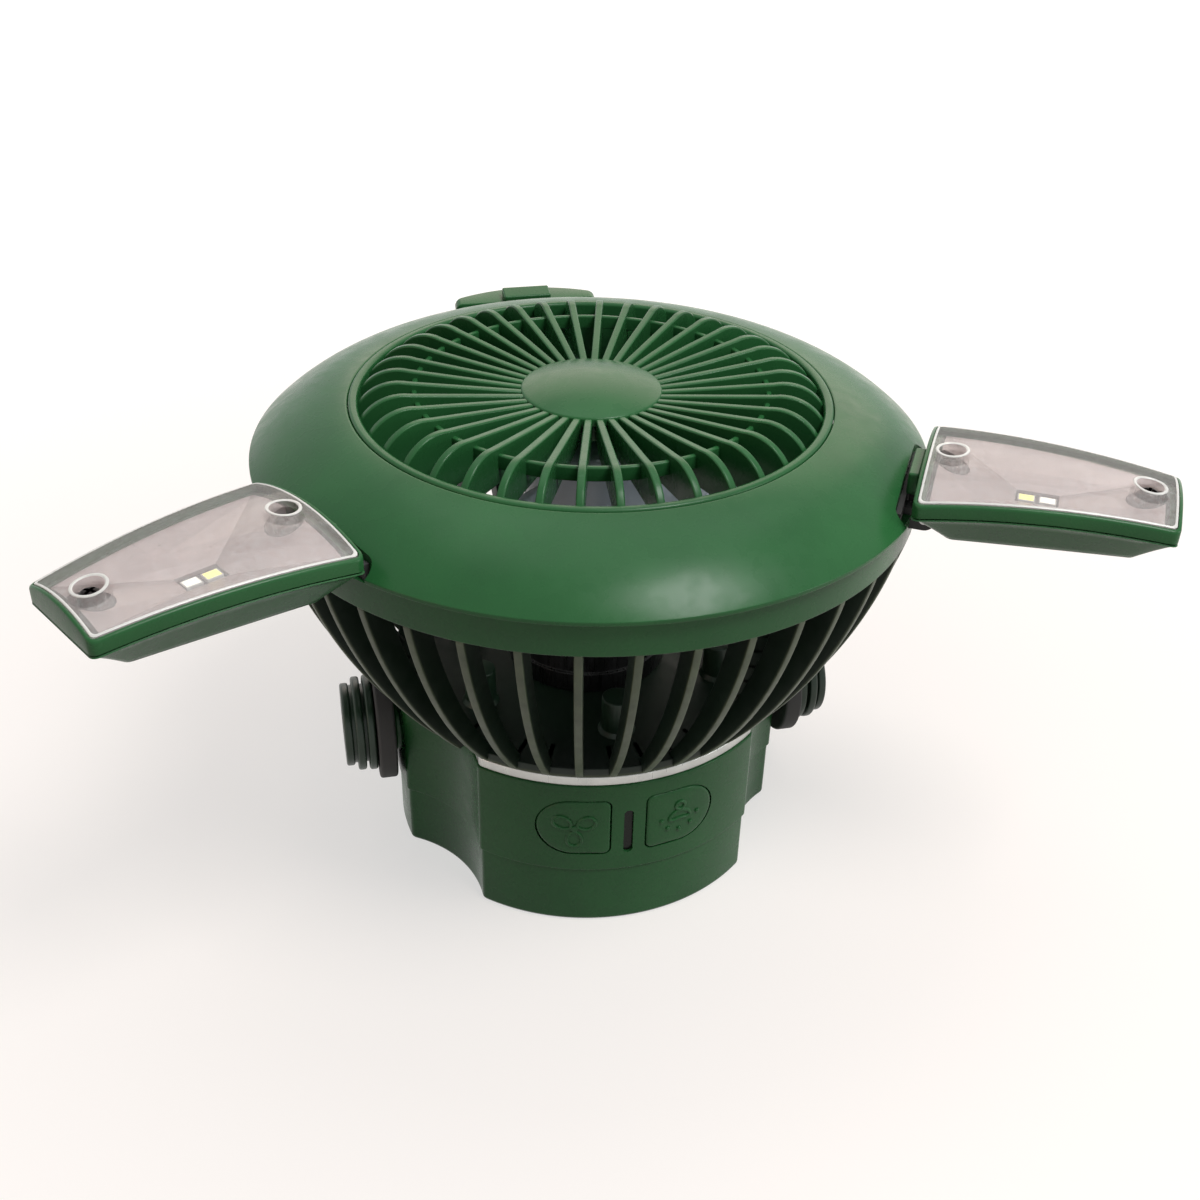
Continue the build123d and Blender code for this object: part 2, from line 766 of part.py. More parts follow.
def leaf_lower_blank(inset, bottom_z):
    """Bevelled lower half of the leaf as a block, drawn in from its outside, down to a height."""
    depth = leaf_corner_z - leaf_band - leaf_bottom_z
    faces = []
    for place, half, corner_z, _ in leaf_stations(inset, 0):
        top = corner_z - leaf_band
        low_half = half - leaf_side_bevel * (leaf_corner_z - leaf_band - bottom_z) / depth
        points = [(place, -half, top), (place, half, top),
                  (place, low_half, bottom_z), (place, -low_half, bottom_z)]
        faces.append(make_face(Polyline(*points, close=True)))
    blank = loft(faces)
    top = leaf_corner_z - leaf_band
    for end, inward in ((leaf_inner_radius + inset, 1), (leaf_outer_radius - inset, -1)):
        wedge = meridian_face(
            (end - inward * overrun, top),
            (end, top),
            (end + inward * leaf_end_bevel, leaf_bottom_z),
            (end + inward * leaf_end_bevel, leaf_bottom_z - overrun),
            (end - inward * overrun, leaf_bottom_z - overrun),
        )
        blank -= extrude(wedge, amount=leaf_inner_half + overrun, dir=(0, 1, 0), both=True)
    return blank


def hinge_bar(radius, start, end):
    """Cylinder on the leaf's hinge axis between two tangential places."""
    middle = (start + end) / 2
    return Pos(hinge_radius, middle, hinge_z) * Rot(90, 0, 0) * Cylinder(radius, end - start)


def leaf_tray():
    blank = leaf_lower_blank(0, leaf_bottom_z)
    tray = blank - leaf_lower_blank(leaf_wall, leaf_floor_z)
    widths = (-knuckle_half_width, knuckle_half_width)
    web = block((web_radius, web_radius + web_depth), widths, (hinge_z, web_top_z))
    tab_widths = (-tab_half_width, tab_half_width)
    tab = block((tab_radius, leaf_inner_radius - seat_gap), tab_widths, (tab_bottom_z, tab_top_z))
    tab_root_z = tab_bottom_z + leaf_wall / 2
    tab += block((tab_radius, leaf_inner_radius + leaf_wall / 2), tab_widths, (tab_bottom_z, tab_root_z))
    tray += [hinge_bar(knuckle_radius, *widths), web, tab]
    board = Pos(led_radius, 0) * Rectangle(led_board_length, led_board_width)
    tray += upright(board, leaf_floor_z - leaf_floor / 2, lamp_z)
    for radius in leaf_screw_radii:
        at = Pos(radius, 0)
        tray += blank & at * rod(lens_boss_radius, leaf_floor_z - leaf_floor / 2, leaf_boss_z)
        tray -= at * rod(lens_boss_radius + seat_gap, leaf_boss_z, leaf_corner_z + overrun)
        tray -= at * rod(screw_radius + running_gap, leaf_screw_tip_z - seat_gap, leaf_corner_z)
    return tray - hinge_bar(pin_radius + running_gap, -leaf_inner_half, leaf_inner_half)


def leaf_frame():
    frame = arched_slab(0, 0, leaf_band - seat_gap, True)
    frame -= arched_slab(lens_inset - 2 * seat_gap, overrun, lens_thickness + 2 * seat_gap + overrun, False)
    over_z = leaf_corner_z + leaf_inner_crest + overrun
    frame -= upright(leaf_plan(leaf_wall), leaf_bottom_z, over_z)
    for radius in leaf_screw_radii:
        frame -= Pos(radius, 0) * rod(lens_boss_radius + seat_gap, leaf_bottom_z, over_z)
    return frame


def leaf_lens():
    lens = arched_slab(lens_inset, 0, lens_thickness, False)
    room = arched_slab(lens_inset, -lens_thickness / 2, leaf_corner_z - leaf_bottom_z, True)
    over_z = leaf_corner_z + 2 * overrun
    for radius in leaf_screw_radii:
        lens += room & Pos(radius, 0) * rod(lens_boss_radius, leaf_boss_z, over_z)
        lens -= Pos(radius, 0) * rod(lens_boss_bore, leaf_boss_z + lens_boss_web, over_z)
        lens -= Pos(radius, 0) * rod(screw_radius + running_gap, leaf_bottom_z, leaf_corner_z + overrun)
    return lens


def leaf_reflector():
    """Bright insert whose four facets fall to a window over the light chips."""
    inset = leaf_wall + 3 * part_gap
    insert = leaf_lower_blank(inset, chip_z + seat_gap)
    window = Pos(led_radius, 0) * Rectangle(window_length, window_width)
    pit_z = chip_z + seat_gap + reflector_floor
    outline = leaf_plan(inset + reflector_floor)
    pit = loft([Pos(0, 0, pit_z) * window, Pos(0, 0, reflector_top_z) * outline])
    insert -= [pit, upright(outline, reflector_top_z, leaf_corner_z + overrun)]
    insert -= upright(window, leaf_bottom_z, pit_z + seat_gap)
    for radius in leaf_screw_radii:
        insert -= Pos(radius, 0) * rod(lens_boss_radius + part_gap, leaf_bottom_z, leaf_corner_z + overrun)
    return insert


def led_board():
    board = Pos(led_radius, 0) * Rectangle(led_board_length, led_board_width)
    return upright(board, lamp_z, chip_z)


def led_chips():
    step = (chip_length + chip_gap) / 2
    chip = upright(Rectangle(chip_length, chip_width), chip_z, chip_z + chip_height)
    return [Pos(led_radius + side * step, 0) * chip for side in (-1, 1)]


def leaf_screws():
    head_z = leaf_boss_z + lens_boss_web
    return [Pos(radius, 0) * screw(head_z, leaf_screw_tip_z) for radius in leaf_screw_radii]


def hinge_bracket():
    """Black plate in the pocket and the slot, with an ear at each side of the leaf's knuckle."""
    back = bracket_back_radius + seat_gap
    front = bracket_back_radius + bracket_wall
    half = bracket_half_width - pocket_corner
    bracket = block((back, front), (-half, half), (bracket_bottom_z, bracket_top_z))
    bracket += block((back, front), (-ear_end, ear_end), (bracket_foot_z, bracket_top_z))
    for start, end in ((-ear_end, -ear_start), (ear_start, ear_end)):
        arm = block((front - bracket_wall / 2, hinge_radius), (start, end),
                    (hinge_z - knuckle_radius, hinge_z + knuckle_radius))
        bracket += [arm, hinge_bar(knuckle_radius, start, end)]
    return bracket - hinge_bar(pin_radius, -bracket_half_width, bracket_half_width)


def hinge_pins():
    return at_leaves(hinge_bar(pin_radius, -ear_end, ear_end))


def fold(solid, name):
    """Put a leaf piece at its azimuth, folded down as the leaf is at rest."""
    axis = Axis((hinge_radius, 0, hinge_z), (0, 1, 0))
    return solid.rotate(axis, leaf_rest_folds[name]).rotate(Axis.Z, leaf_azimuths[name])


def save(node, shape):
    """Write one node; a list of separate solids becomes a group."""
    solids = shape if isinstance(shape, list) else [shape]
    whole = Compound(children=[s for piece in solids for s in piece.solids()])
    export_step(whole, f"parts/{node}.step")


def main():
    os.makedirs("parts", exist_ok=True)
    makers = (top_shroud, front_grille, rear_cage, trim_ring, base_upper_shell, base_lower_shell,
              solar_panel, base_screws, cage_screws, motor_screws, motor_can, motor_shaft, impeller,
              shaft_cap, battery_tray, battery_cells, main_board, charge_port, indicator_window,
              switch_board, button_switches, bail, pivot_screws, hinge_pins)
    for make in makers:
        save(make.__name__, make())
    for side, word, face in ((-1, "left", "fan"), (1, "right", "light")):
        save(f"{word}_knob", knob(side))
        save(f"{face}_button", button(side))
    bracket = hinge_bracket()
    leaf_pieces = {make.__name__: make() for make in
                   (leaf_tray, leaf_frame, leaf_lens, leaf_reflector, led_board, led_chips, leaf_screws)}
    for name, azimuth in leaf_azimuths.items():
        save(f"{name}_hinge_bracket", Rot(0, 0, azimuth) * bracket)
        for kind, shape in leaf_pieces.items():
            solids = shape if isinstance(shape, list) else [shape]
            save(f"{name}_{kind}", [fold(solid, name) for solid in solids])


main()
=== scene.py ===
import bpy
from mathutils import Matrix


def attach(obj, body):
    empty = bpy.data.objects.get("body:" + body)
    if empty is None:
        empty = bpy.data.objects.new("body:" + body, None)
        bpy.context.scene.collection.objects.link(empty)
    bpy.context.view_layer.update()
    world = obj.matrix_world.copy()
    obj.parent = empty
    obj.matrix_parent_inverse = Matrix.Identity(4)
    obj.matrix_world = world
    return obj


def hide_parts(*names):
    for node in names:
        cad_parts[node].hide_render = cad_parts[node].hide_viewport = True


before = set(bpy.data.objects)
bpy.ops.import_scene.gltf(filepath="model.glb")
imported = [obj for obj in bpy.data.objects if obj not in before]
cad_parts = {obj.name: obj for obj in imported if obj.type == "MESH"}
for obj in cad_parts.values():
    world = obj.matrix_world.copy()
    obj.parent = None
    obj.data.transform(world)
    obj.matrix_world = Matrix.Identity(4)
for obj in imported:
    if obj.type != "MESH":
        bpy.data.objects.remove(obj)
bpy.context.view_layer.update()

import logging
import math
from dataclasses import dataclass
from enum import Enum
from typing import Callable, Iterable, Sequence

import bmesh
import bpy
from bpy.types import Material, Mesh, Node, NodeSocket, NodeTree, Object
from mathutils import Matrix, Vector

LOG = logging.getLogger("camping_fan")

# All sizes below are millimetres in the object's own frame: radii from the fan axis and
# heights above the foot. Meshes become metres when a piece is placed.
METRES = 0.001
MERGE = 1e-4
OVERCUT = 6
PIVOT_Z = 30.5

# Counts of straight steps, and the angle in degrees from leaf to leaf.
FINE_STEPS = 256
LOBE_STEPS = 48
BEAD_STEPS = 10
THIRD = 120

Point = tuple[float, float]
Corner = tuple[float, float, float]
Ring = list[tuple[float, float, float]]


class Leaf(Enum):
    """The three lamp leaves, with their azimuth and how far each is folded down at rest."""

    BACK = ("back", 90.0, 80.0)
    LEFT = ("left", 210.0, 0.0)
    RIGHT = ("right", 330.0, 0.0)

    @property
    def word(self) -> str:
        """Name used for the leaf's nodes and body."""
        return self.value[0]

    @property
    def azimuth(self) -> float:
        """Direction of the leaf round the head, in degrees."""
        return self.value[1]

    @property
    def fold(self) -> float:
        """Angle of the leaf below its level place at rest, in degrees."""
        return self.value[2]


class Side(Enum):
    """Left or right of the fan as its buttons face the viewer."""

    LEFT = -1
    RIGHT = 1


class Carve(Enum):
    """Ways of joining two solids."""

    CUT = "DIFFERENCE"
    ADD = "UNION"


# Plane geometry


def arc(start: Point, via: Point, end: Point, steps: int = 24) -> list[Point]:
    """Points on the circle through three points.

    Args:
        start: First end of the arc.
        via: A point on the arc.
        end: Other end of the arc.
        steps: Number of straight steps.

    Returns:
        The points from start to end, both included.
    """
    (ax, ay), (bx, by), (cx, cy) = start, via, end
    d = 2 * (ax * (by - cy) + bx * (cy - ay) + cx * (ay - by))
    a2, b2, c2 = ax * ax + ay * ay, bx * bx + by * by, cx * cx + cy * cy
    ux = (a2 * (by - cy) + b2 * (cy - ay) + c2 * (ay - by)) / d
    uy = (a2 * (cx - bx) + b2 * (ax - cx) + c2 * (bx - ax)) / d
    radius = math.hypot(ax - ux, ay - uy)
    first, mid, last = (math.atan2(y - uy, x - ux) for x, y in (start, via, end))
    sweep = (last - first) % math.tau
    if (mid - first) % math.tau > sweep:
        sweep -= math.tau
    angles = [first + sweep * k / steps for k in range(steps + 1)]
    return [(ux + radius * math.cos(t), uy + radius * math.sin(t)) for t in angles]


def sharp(points: Iterable[Point]) -> list[Corner]:
    """The same points as corners with no rounding."""
    return [(x, y, 0.0) for x, y in points]


def rounded(corners: Sequence[Corner], steps: int = 5) -> list[Point]:
    """Closed outline with each corner rounded to its own radius.

    Args:
        corners: Corner places, each with its radius.
        steps: Straight steps in each rounding.

    Returns:
        The points of the outline in order.
    """
    outline: list[Point] = []
    for index, (x, y, radius) in enumerate(corners):
        here = Vector((x, y))
        before = Vector(corners[index - 1][:2]) - here
        after = Vector(corners[(index + 1) % len(corners)][:2]) - here
        if radius <= 0:
            outline.append((x, y))
            continue
        half = before.angle(after) / 2
        reach = radius / math.tan(half)
        centre = here + (before.normalized() + after.normalized()).normalized() * radius / math.sin(half)
        spokes = [here + side.normalized() * reach - centre for side in (before, after)]
        turn = spokes[1].angle_signed(spokes[0])
        for k in range(steps + 1):
            spoke = Matrix.Rotation(turn * k / steps, 2) @ spokes[0]
            outline.append(tuple(centre + spoke))
    return outline


def swing(point: Point, degrees: float) -> Point:
    """A plan point turned about the fan axis.

    Args:
        point: The point.
        degrees: How far it turns.

    Returns:
        The turned point.
    """
    turn = math.radians(degrees)
    x, y = point
    return x * math.cos(turn) - y * math.sin(turn), x * math.sin(turn) + y * math.cos(turn)


# Mesh building, in millimetres


def circle(radius: float, steps: int, centre: Point = (0.0, 0.0)) -> list[Point]:
    """Points of a circle."""
    turns = [math.tau * k / steps for k in range(steps)]
    return [(centre[0] + radius * math.cos(t), centre[1] + radius * math.sin(t)) for t in turns]


def quarter(radius: float, steps: int = 4) -> list[Point]:
    """Steps of a rounded edge, as distances from the two faces that it joins."""
    turns = [math.pi / 2 * k / steps for k in range(steps + 1)]
    return [(radius * (1 - math.sin(t)), radius * (1 - math.cos(t))) for t in turns]


def mix(ends: Point, share: float) -> float:
    """Value at a share of the way between two ends."""
    return ends[0] + share * (ends[1] - ends[0])


def level(outline: Iterable[Point], height: float) -> Ring:
    """A plan outline at one height."""
    return [(x, y, height) for x, y in outline]


def shift(x: float, y: float = 0.0, z: float = 0.0) -> Matrix:
    """Move along the axes."""
    return Matrix.Translation((x, y, z))


def linked(name: str, data: bpy.types.ID) -> Object:
    """A new object in the scene that holds some data.

    Args:
        name: Name of the object.
        data: What it holds.

    Returns:
        The object.
    """
    thing = bpy.data.objects.new(name, data)
    bpy.context.scene.collection.objects.link(thing)
    return thing


def from_rings(rings: Sequence[Ring], looped: bool = False, capped: bool = True) -> Mesh:
    """Skin of quads over closed rings of equal length.

    Args:
        rings: Rings of points, neighbours joined to one another.
        looped: Whether the last ring joins the first.
        capped: Whether the first and last rings are closed with a face.

    Returns:
        A mesh whose faces point outwards.
    """
    work = bmesh.new()
    loops = [[work.verts.new(point) for point in ring] for ring in rings]
    pairs = list(zip(loops, loops[1:])) + ([(loops[-1], loops[0])] if looped else [])
    count = len(loops[0])
    for low, high in pairs:
        for k in range(count):
            n = (k + 1) % count
            work.faces.new((low[k], low[n], high[n], high[k]))
    if capped and not looped:
        work.faces.new(list(reversed(loops[0])))
        work.faces.new(loops[-1])
    bmesh.ops.remove_doubles(work, verts=work.verts, dist=MERGE)
    bmesh.ops.recalc_face_normals(work, faces=work.faces)
    mesh = bpy.data.meshes.new("shape")
    work.to_mesh(mesh)
    work.free()
    return mesh


def lathe(profile: Sequence[Point], steps: int = FINE_STEPS) -> Mesh:
    """Solid of revolution about the fan axis from a closed (radius, height) profile.

    Args:
        profile: Points of the profile.
        steps: Steps round the axis.

    Returns:
        The solid.
    """
    rings = []
    for k in range(steps):
        turn = math.tau * k / steps
        rings.append([(r * math.cos(turn), r * math.sin(turn), z) for r, z in profile])
    return from_rings(rings, looped=True)


def prism(outline: Sequence[Point], low: float, high: float) -> Mesh:
    """Upright prism of a plan outline between two heights."""
    return from_rings([level(outline, z) for z in (low, high)])


def tube(outer: float, inner: float, low: float, high: float, soft_low: float, soft_high: float,
         steps: int = FINE_STEPS) -> Mesh:
    """Tube on the fan axis, with its lower and upper rims rounded."""
    return lathe(rounded([(outer, low, soft_low), (outer, high, soft_high),
                          (inner, high, soft_high), (inner, low, soft_low)]), steps)


def rod(radius: float, low: float, high: float, soft: float = 0.0, steps: int = 96) -> Mesh:
    """Cylinder on the fan axis, with its rims rounded by the radius soft."""
    return lathe(rounded([(0, low, 0), (radius, low, soft), (radius, high, soft), (0, high, 0)]), steps)


def box(low: Sequence[float], high: Sequence[float]) -> Mesh:
    """Rectangular block between two opposite corners."""
    outline = [(low[0], low[1]), (high[0], low[1]), (high[0], high[1]), (low[0], high[1])]
    return prism(outline, low[2], high[2])


def moved(mesh: Mesh, matrix: Matrix) -> Mesh:
    """A copy of a mesh put elsewhere.

    Args:
        mesh: The mesh to copy.
        matrix: Where the copy goes.

    Returns:
        The copy.
    """
    copy = mesh.copy()
    copy.transform(matrix)
    return copy


def about_z(degrees: float) -> Matrix:
    """Turn about the fan axis."""
    return Matrix.Rotation(math.radians(degrees), 4, "Z")


def joined(meshes: Iterable[Mesh]) -> Mesh:
    """Several meshes as one, side by side.

    Args:
        meshes: The meshes.

    Returns:
        The one mesh.
    """
    work = bmesh.new()
    for mesh in meshes:
        work.from_mesh(mesh)
    result = bpy.data.meshes.new("shape")
    work.to_mesh(result)
    work.free()
    return result


def evaluated(mesh: Mesh, dress: Callable[[Object], None]) -> Mesh:
    """A mesh after modifiers.

    Args:
        mesh: The mesh to start from.
        dress: Adds the modifiers to a holder of the mesh.

    Returns:
        The finished plain mesh.
    """
    holder = linked("holder", mesh)
    dress(holder)
    graph = bpy.context.evaluated_depsgraph_get()
    result = bpy.data.meshes.new_from_object(holder.evaluated_get(graph))
    bpy.data.objects.remove(holder)
    return result


def carved(mesh: Mesh, tools: Sequence[Mesh], way: Carve = Carve.CUT) -> Mesh:
    """A solid with other solids cut from it or added to it.

    Args:
        mesh: The solid to work on.
        tools: The other solids.
        way: Whether they are cut or added.

    Returns:
        The new solid.
    """
    for tool in tools:
        helper = linked("tool", tool)

        def dress(holder: Object) -> None:
            """Adds the join to the holder.

            Args:
                holder: The object that holds the mesh.
            """
            step = holder.modifiers.new("join", "BOOLEAN")
            step.operation = way.value
            step.solver = "EXACT"
            step.object = helper

        mesh = evaluated(mesh, dress)
        bpy.data.objects.remove(helper)
    return mesh


def softened(mesh: Mesh, width: float, segments: int = 2, angle: float = 40.0) -> Mesh:
    """A mesh with its sharp edges rounded and its flat faces kept flat to the eye.

    Args:
        mesh: The mesh to work on.
        width: Width of each rounding.
        segments: Steps in each rounding.
        angle: Angle in degrees from which an edge is sharp.

    Returns:
        The rounded mesh.
    """

    def dress(holder: Object) -> None:
        """Adds the rounding to the holder.

        Args:
            holder: The object that holds the mesh.
        """
        weld = holder.modifiers.new("weld", "WELD")
        weld.merge_threshold = MERGE
        edge = holder.modifiers.new("round", "BEVEL")
        edge.width = width
        edge.segments = segments
        edge.limit_method = "ANGLE"
        edge.angle_limit = math.radians(angle)
        edge.use_clamp_overlap = True
        flat = holder.modifiers.new("flat", "WEIGHTED_NORMAL")
        flat.keep_sharp = True

    mesh.shade_smooth()
    return evaluated(mesh, dress)


# Geometry Nodes for what repeats


@dataclass(frozen=True)
class NodeGroup:
    """A node tree with named inputs that is applied to a mesh and left behind."""

    name: str
    build: Callable[[NodeTree, Node, Node], None]
    inputs: tuple[tuple[str, str], ...]

    def applied(self, mesh: Mesh, material: Material, **values: object) -> Mesh:
        """Runs the tree on a mesh.

        Args:
            mesh: The shape that is repeated.
            material: Finish of the result.
            **values: One value for each named input.

        Returns:
            The plain mesh that the tree makes.
        """
        tree = bpy.data.node_groups.get(self.name) or self._new_tree()
        sockets = {s.name: s.identifier for s in tree.interface.items_tree if s.in_out == "INPUT"}

        def dress(holder: Object) -> None:
            """Adds the tree and its values to the holder.

            Args:
                holder: The object that holds the mesh.
            """
            step = holder.modifiers.new(self.name, "NODES")
            step.node_group = tree
            step[sockets["Material"]] = material
            for key, value in values.items():
                step[sockets[key.replace("_", " ").capitalize()]] = value

        return evaluated(mesh, dress)

    def _new_tree(self) -> NodeTree:
        """Makes the tree, with Realize Instances and Set Material at its end.

        Returns:
            The tree.
        """
        tree = bpy.data.node_groups.new(self.name, "GeometryNodeTree")
        tree.interface.new_socket("Geometry", in_out="INPUT", socket_type="NodeSocketGeometry")
        tree.interface.new_socket("Material", in_out="INPUT", socket_type="NodeSocketMaterial")
        for name, kind in self.inputs:
            tree.interface.new_socket(name, in_out="INPUT", socket_type=kind)
        tree.interface.new_socket("Geometry", in_out="OUTPUT", socket_type="NodeSocketGeometry")
        entry = tree.nodes.new("NodeGroupInput")
        last = tree.nodes.new("GeometryNodeSetMaterial")
        realize = tree.nodes.new("GeometryNodeRealizeInstances")
        self.build(tree, entry, realize)
        tree.links.new(realize.outputs[0], last.inputs["Geometry"])
        tree.links.new(entry.outputs["Material"], last.inputs["Material"])
        leave = tree.nodes.new("NodeGroupOutput")
        tree.links.new(last.outputs[0], leave.inputs[0])
        return tree


def math_node(tree: NodeTree, operation: str, *terms: object) -> NodeSocket:
    """A Math node in a tree.

    Args:
        tree: The tree to add to.
        operation: Name of the operation.
        *terms: Sockets to link or numbers to set.

    Returns:
        The node's output.
    """
    node = tree.nodes.new("ShaderNodeMath")
    node.operation = operation
    for socket, term in zip(node.inputs, terms):
        if isinstance(term, NodeSocket):
            tree.links.new(term, socket)
        else:
            socket.default_value = term
    return node.outputs[0]


def upright(tree: NodeTree, value: NodeSocket) -> NodeSocket:
    """A vector along the fan axis.

    Args:
        tree: The tree to add to.
        value: Its length.

    Returns:
        The vector.
    """
    node = tree.nodes.new("ShaderNodeCombineXYZ")
    tree.links.new(value, node.inputs["Z"])
    return node.outputs[0]


def place_copies(tree: NodeTree, realize: Node, points: NodeSocket, shape: NodeSocket,
                 **how: NodeSocket) -> None:
    """Puts a shape on points.

    Args:
        tree: The tree to add to.
        realize: The node that takes the copies.
        points: Where they go.
        shape: The shape.
        **how: Their Rotation or Scale.
    """
    copies = tree.nodes.new("GeometryNodeInstanceOnPoints")
    for name, socket in {"Points": points, "Instance": shape, **how}.items():
        tree.links.new(socket, copies.inputs[name])
    tree.links.new(copies.outputs[0], realize.inputs[0])


def build_wheel(tree: NodeTree, entry: Node, realize: Node) -> None:
    """Copies a shape round the fan axis at equal angles, from a first angle.

    Args:
        tree: The tree to add to.
        entry: Its input node.
        realize: The node that takes the copies.
    """
    points = tree.nodes.new("GeometryNodePoints")
    tree.links.new(entry.outputs["Count"], points.inputs["Count"])
    index = tree.nodes.new("GeometryNodeInputIndex").outputs[0]
    pitch = math_node(tree, "DIVIDE", math.tau, entry.outputs["Count"])
    turn = math_node(tree, "MULTIPLY_ADD", index, pitch, entry.outputs["First angle"])
    place_copies(tree, realize, points.outputs[0], entry.outputs["Geometry"], Rotation=upright(tree, turn))


def build_field(tree: NodeTree, entry: Node, realize: Node) -> None:
    """Copies the shape of another object to each point of a mesh, each turned by chance.

    Args:
        tree: The tree to add to.
        entry: Its input node.
        realize: The node that takes the copies.
    """
    chance = tree.nodes.new("FunctionNodeRandomValue")
    chance.inputs["Max"].default_value = 1.0
    tree.links.new(entry.outputs["Seed"], chance.inputs["Seed"])
    turn = math_node(tree, "MULTIPLY", chance.outputs[1], math.tau)
    info = tree.nodes.new("GeometryNodeObjectInfo")
    tree.links.new(entry.outputs["Shape"], info.inputs["Object"])
    shape = info.outputs["Geometry"]
    place_copies(tree, realize, entry.outputs["Geometry"], shape, Rotation=upright(tree, turn))


def build_stack(tree: NodeTree, entry: Node, realize: Node) -> None:
    """Copies a disc along its axis at an even pitch, the later ones smaller.

    Args:
        tree: The tree to add to.
        entry: Its input node.
        realize: The node that takes the copies.
    """
    line = tree.nodes.new("GeometryNodeMeshLine")
    tree.links.new(entry.outputs["Count"], line.inputs["Count"])
    tree.links.new(upright(tree, entry.outputs["Pitch"]), line.inputs["Offset"])
    index = tree.nodes.new("GeometryNodeInputIndex").outputs[0]
    share = math_node(tree, "POWER", index, 3.0)
    width = math_node(tree, "MULTIPLY_ADD", share, entry.outputs["Taper"], 1.0)
    size = tree.nodes.new("ShaderNodeCombineXYZ")
    for axis in "XY":
        tree.links.new(width, size.inputs[axis])
    size.inputs["Z"].default_value = 1.0
    place_copies(tree, realize, line.outputs[0], entry.outputs["Geometry"], Scale=size.outputs[0])


WHEEL = NodeGroup("wheel_of_copies", build_wheel,
                  (("Count", "NodeSocketInt"), ("First angle", "NodeSocketFloat")))
FIELD = NodeGroup("field_of_copies", build_field,
                  (("Shape", "NodeSocketObject"), ("Seed", "NodeSocketInt")))
STACK = NodeGroup("stack_of_discs", build_stack,
                  (("Count", "NodeSocketInt"), ("Pitch", "NodeSocketFloat"), ("Taper", "NodeSocketFloat")))


# Finishes, with depths of relief in metres

NOISE_RANGE = (0.3, 0.7)
GRAIN_DEPTH = 0.00006
MARK_DEPTH = 0.00003


def ranged(tree: NodeTree, value: NodeSocket, source: Point, target: Point = (0.0, 1.0)) -> Node:
    """A Map Range node that carries a value from one range to another.

    Args:
        tree: The tree to add to.
        value: The value.
        source: The range that it comes in.
        target: The range that it goes to.

    Returns:
        The node.
    """
    node = tree.nodes.new("ShaderNodeMapRange")
    for word, ends in (("From", source), ("To", target)):
        node.inputs[f"{word} Min"].default_value, node.inputs[f"{word} Max"].default_value = ends
    tree.links.new(value, node.inputs["Value"])
    return node


def hypotenuse(tree: NodeTree, *sides: NodeSocket) -> NodeSocket:
    """Square root of the sum of two squares."""
    squares = [math_node(tree, "MULTIPLY", side, side) for side in sides]
    return math_node(tree, "SQRT", math_node(tree, "ADD", *squares))


def linear(code: str) -> tuple[float, float, float, float]:
    """Scene-linear colour of a six-digit colour code.

    Args:
        code: The colour code.

    Returns:
        Red, green and blue, then an alpha of one.
    """
    parts = [int(code[k:k + 2], 16) / 255 for k in (0, 2, 4)]
    values = [p / 12.92 if p <= 0.04045 else ((p + 0.055) / 1.055) ** 2.4 for p in parts]
    return (*values, 1.0)


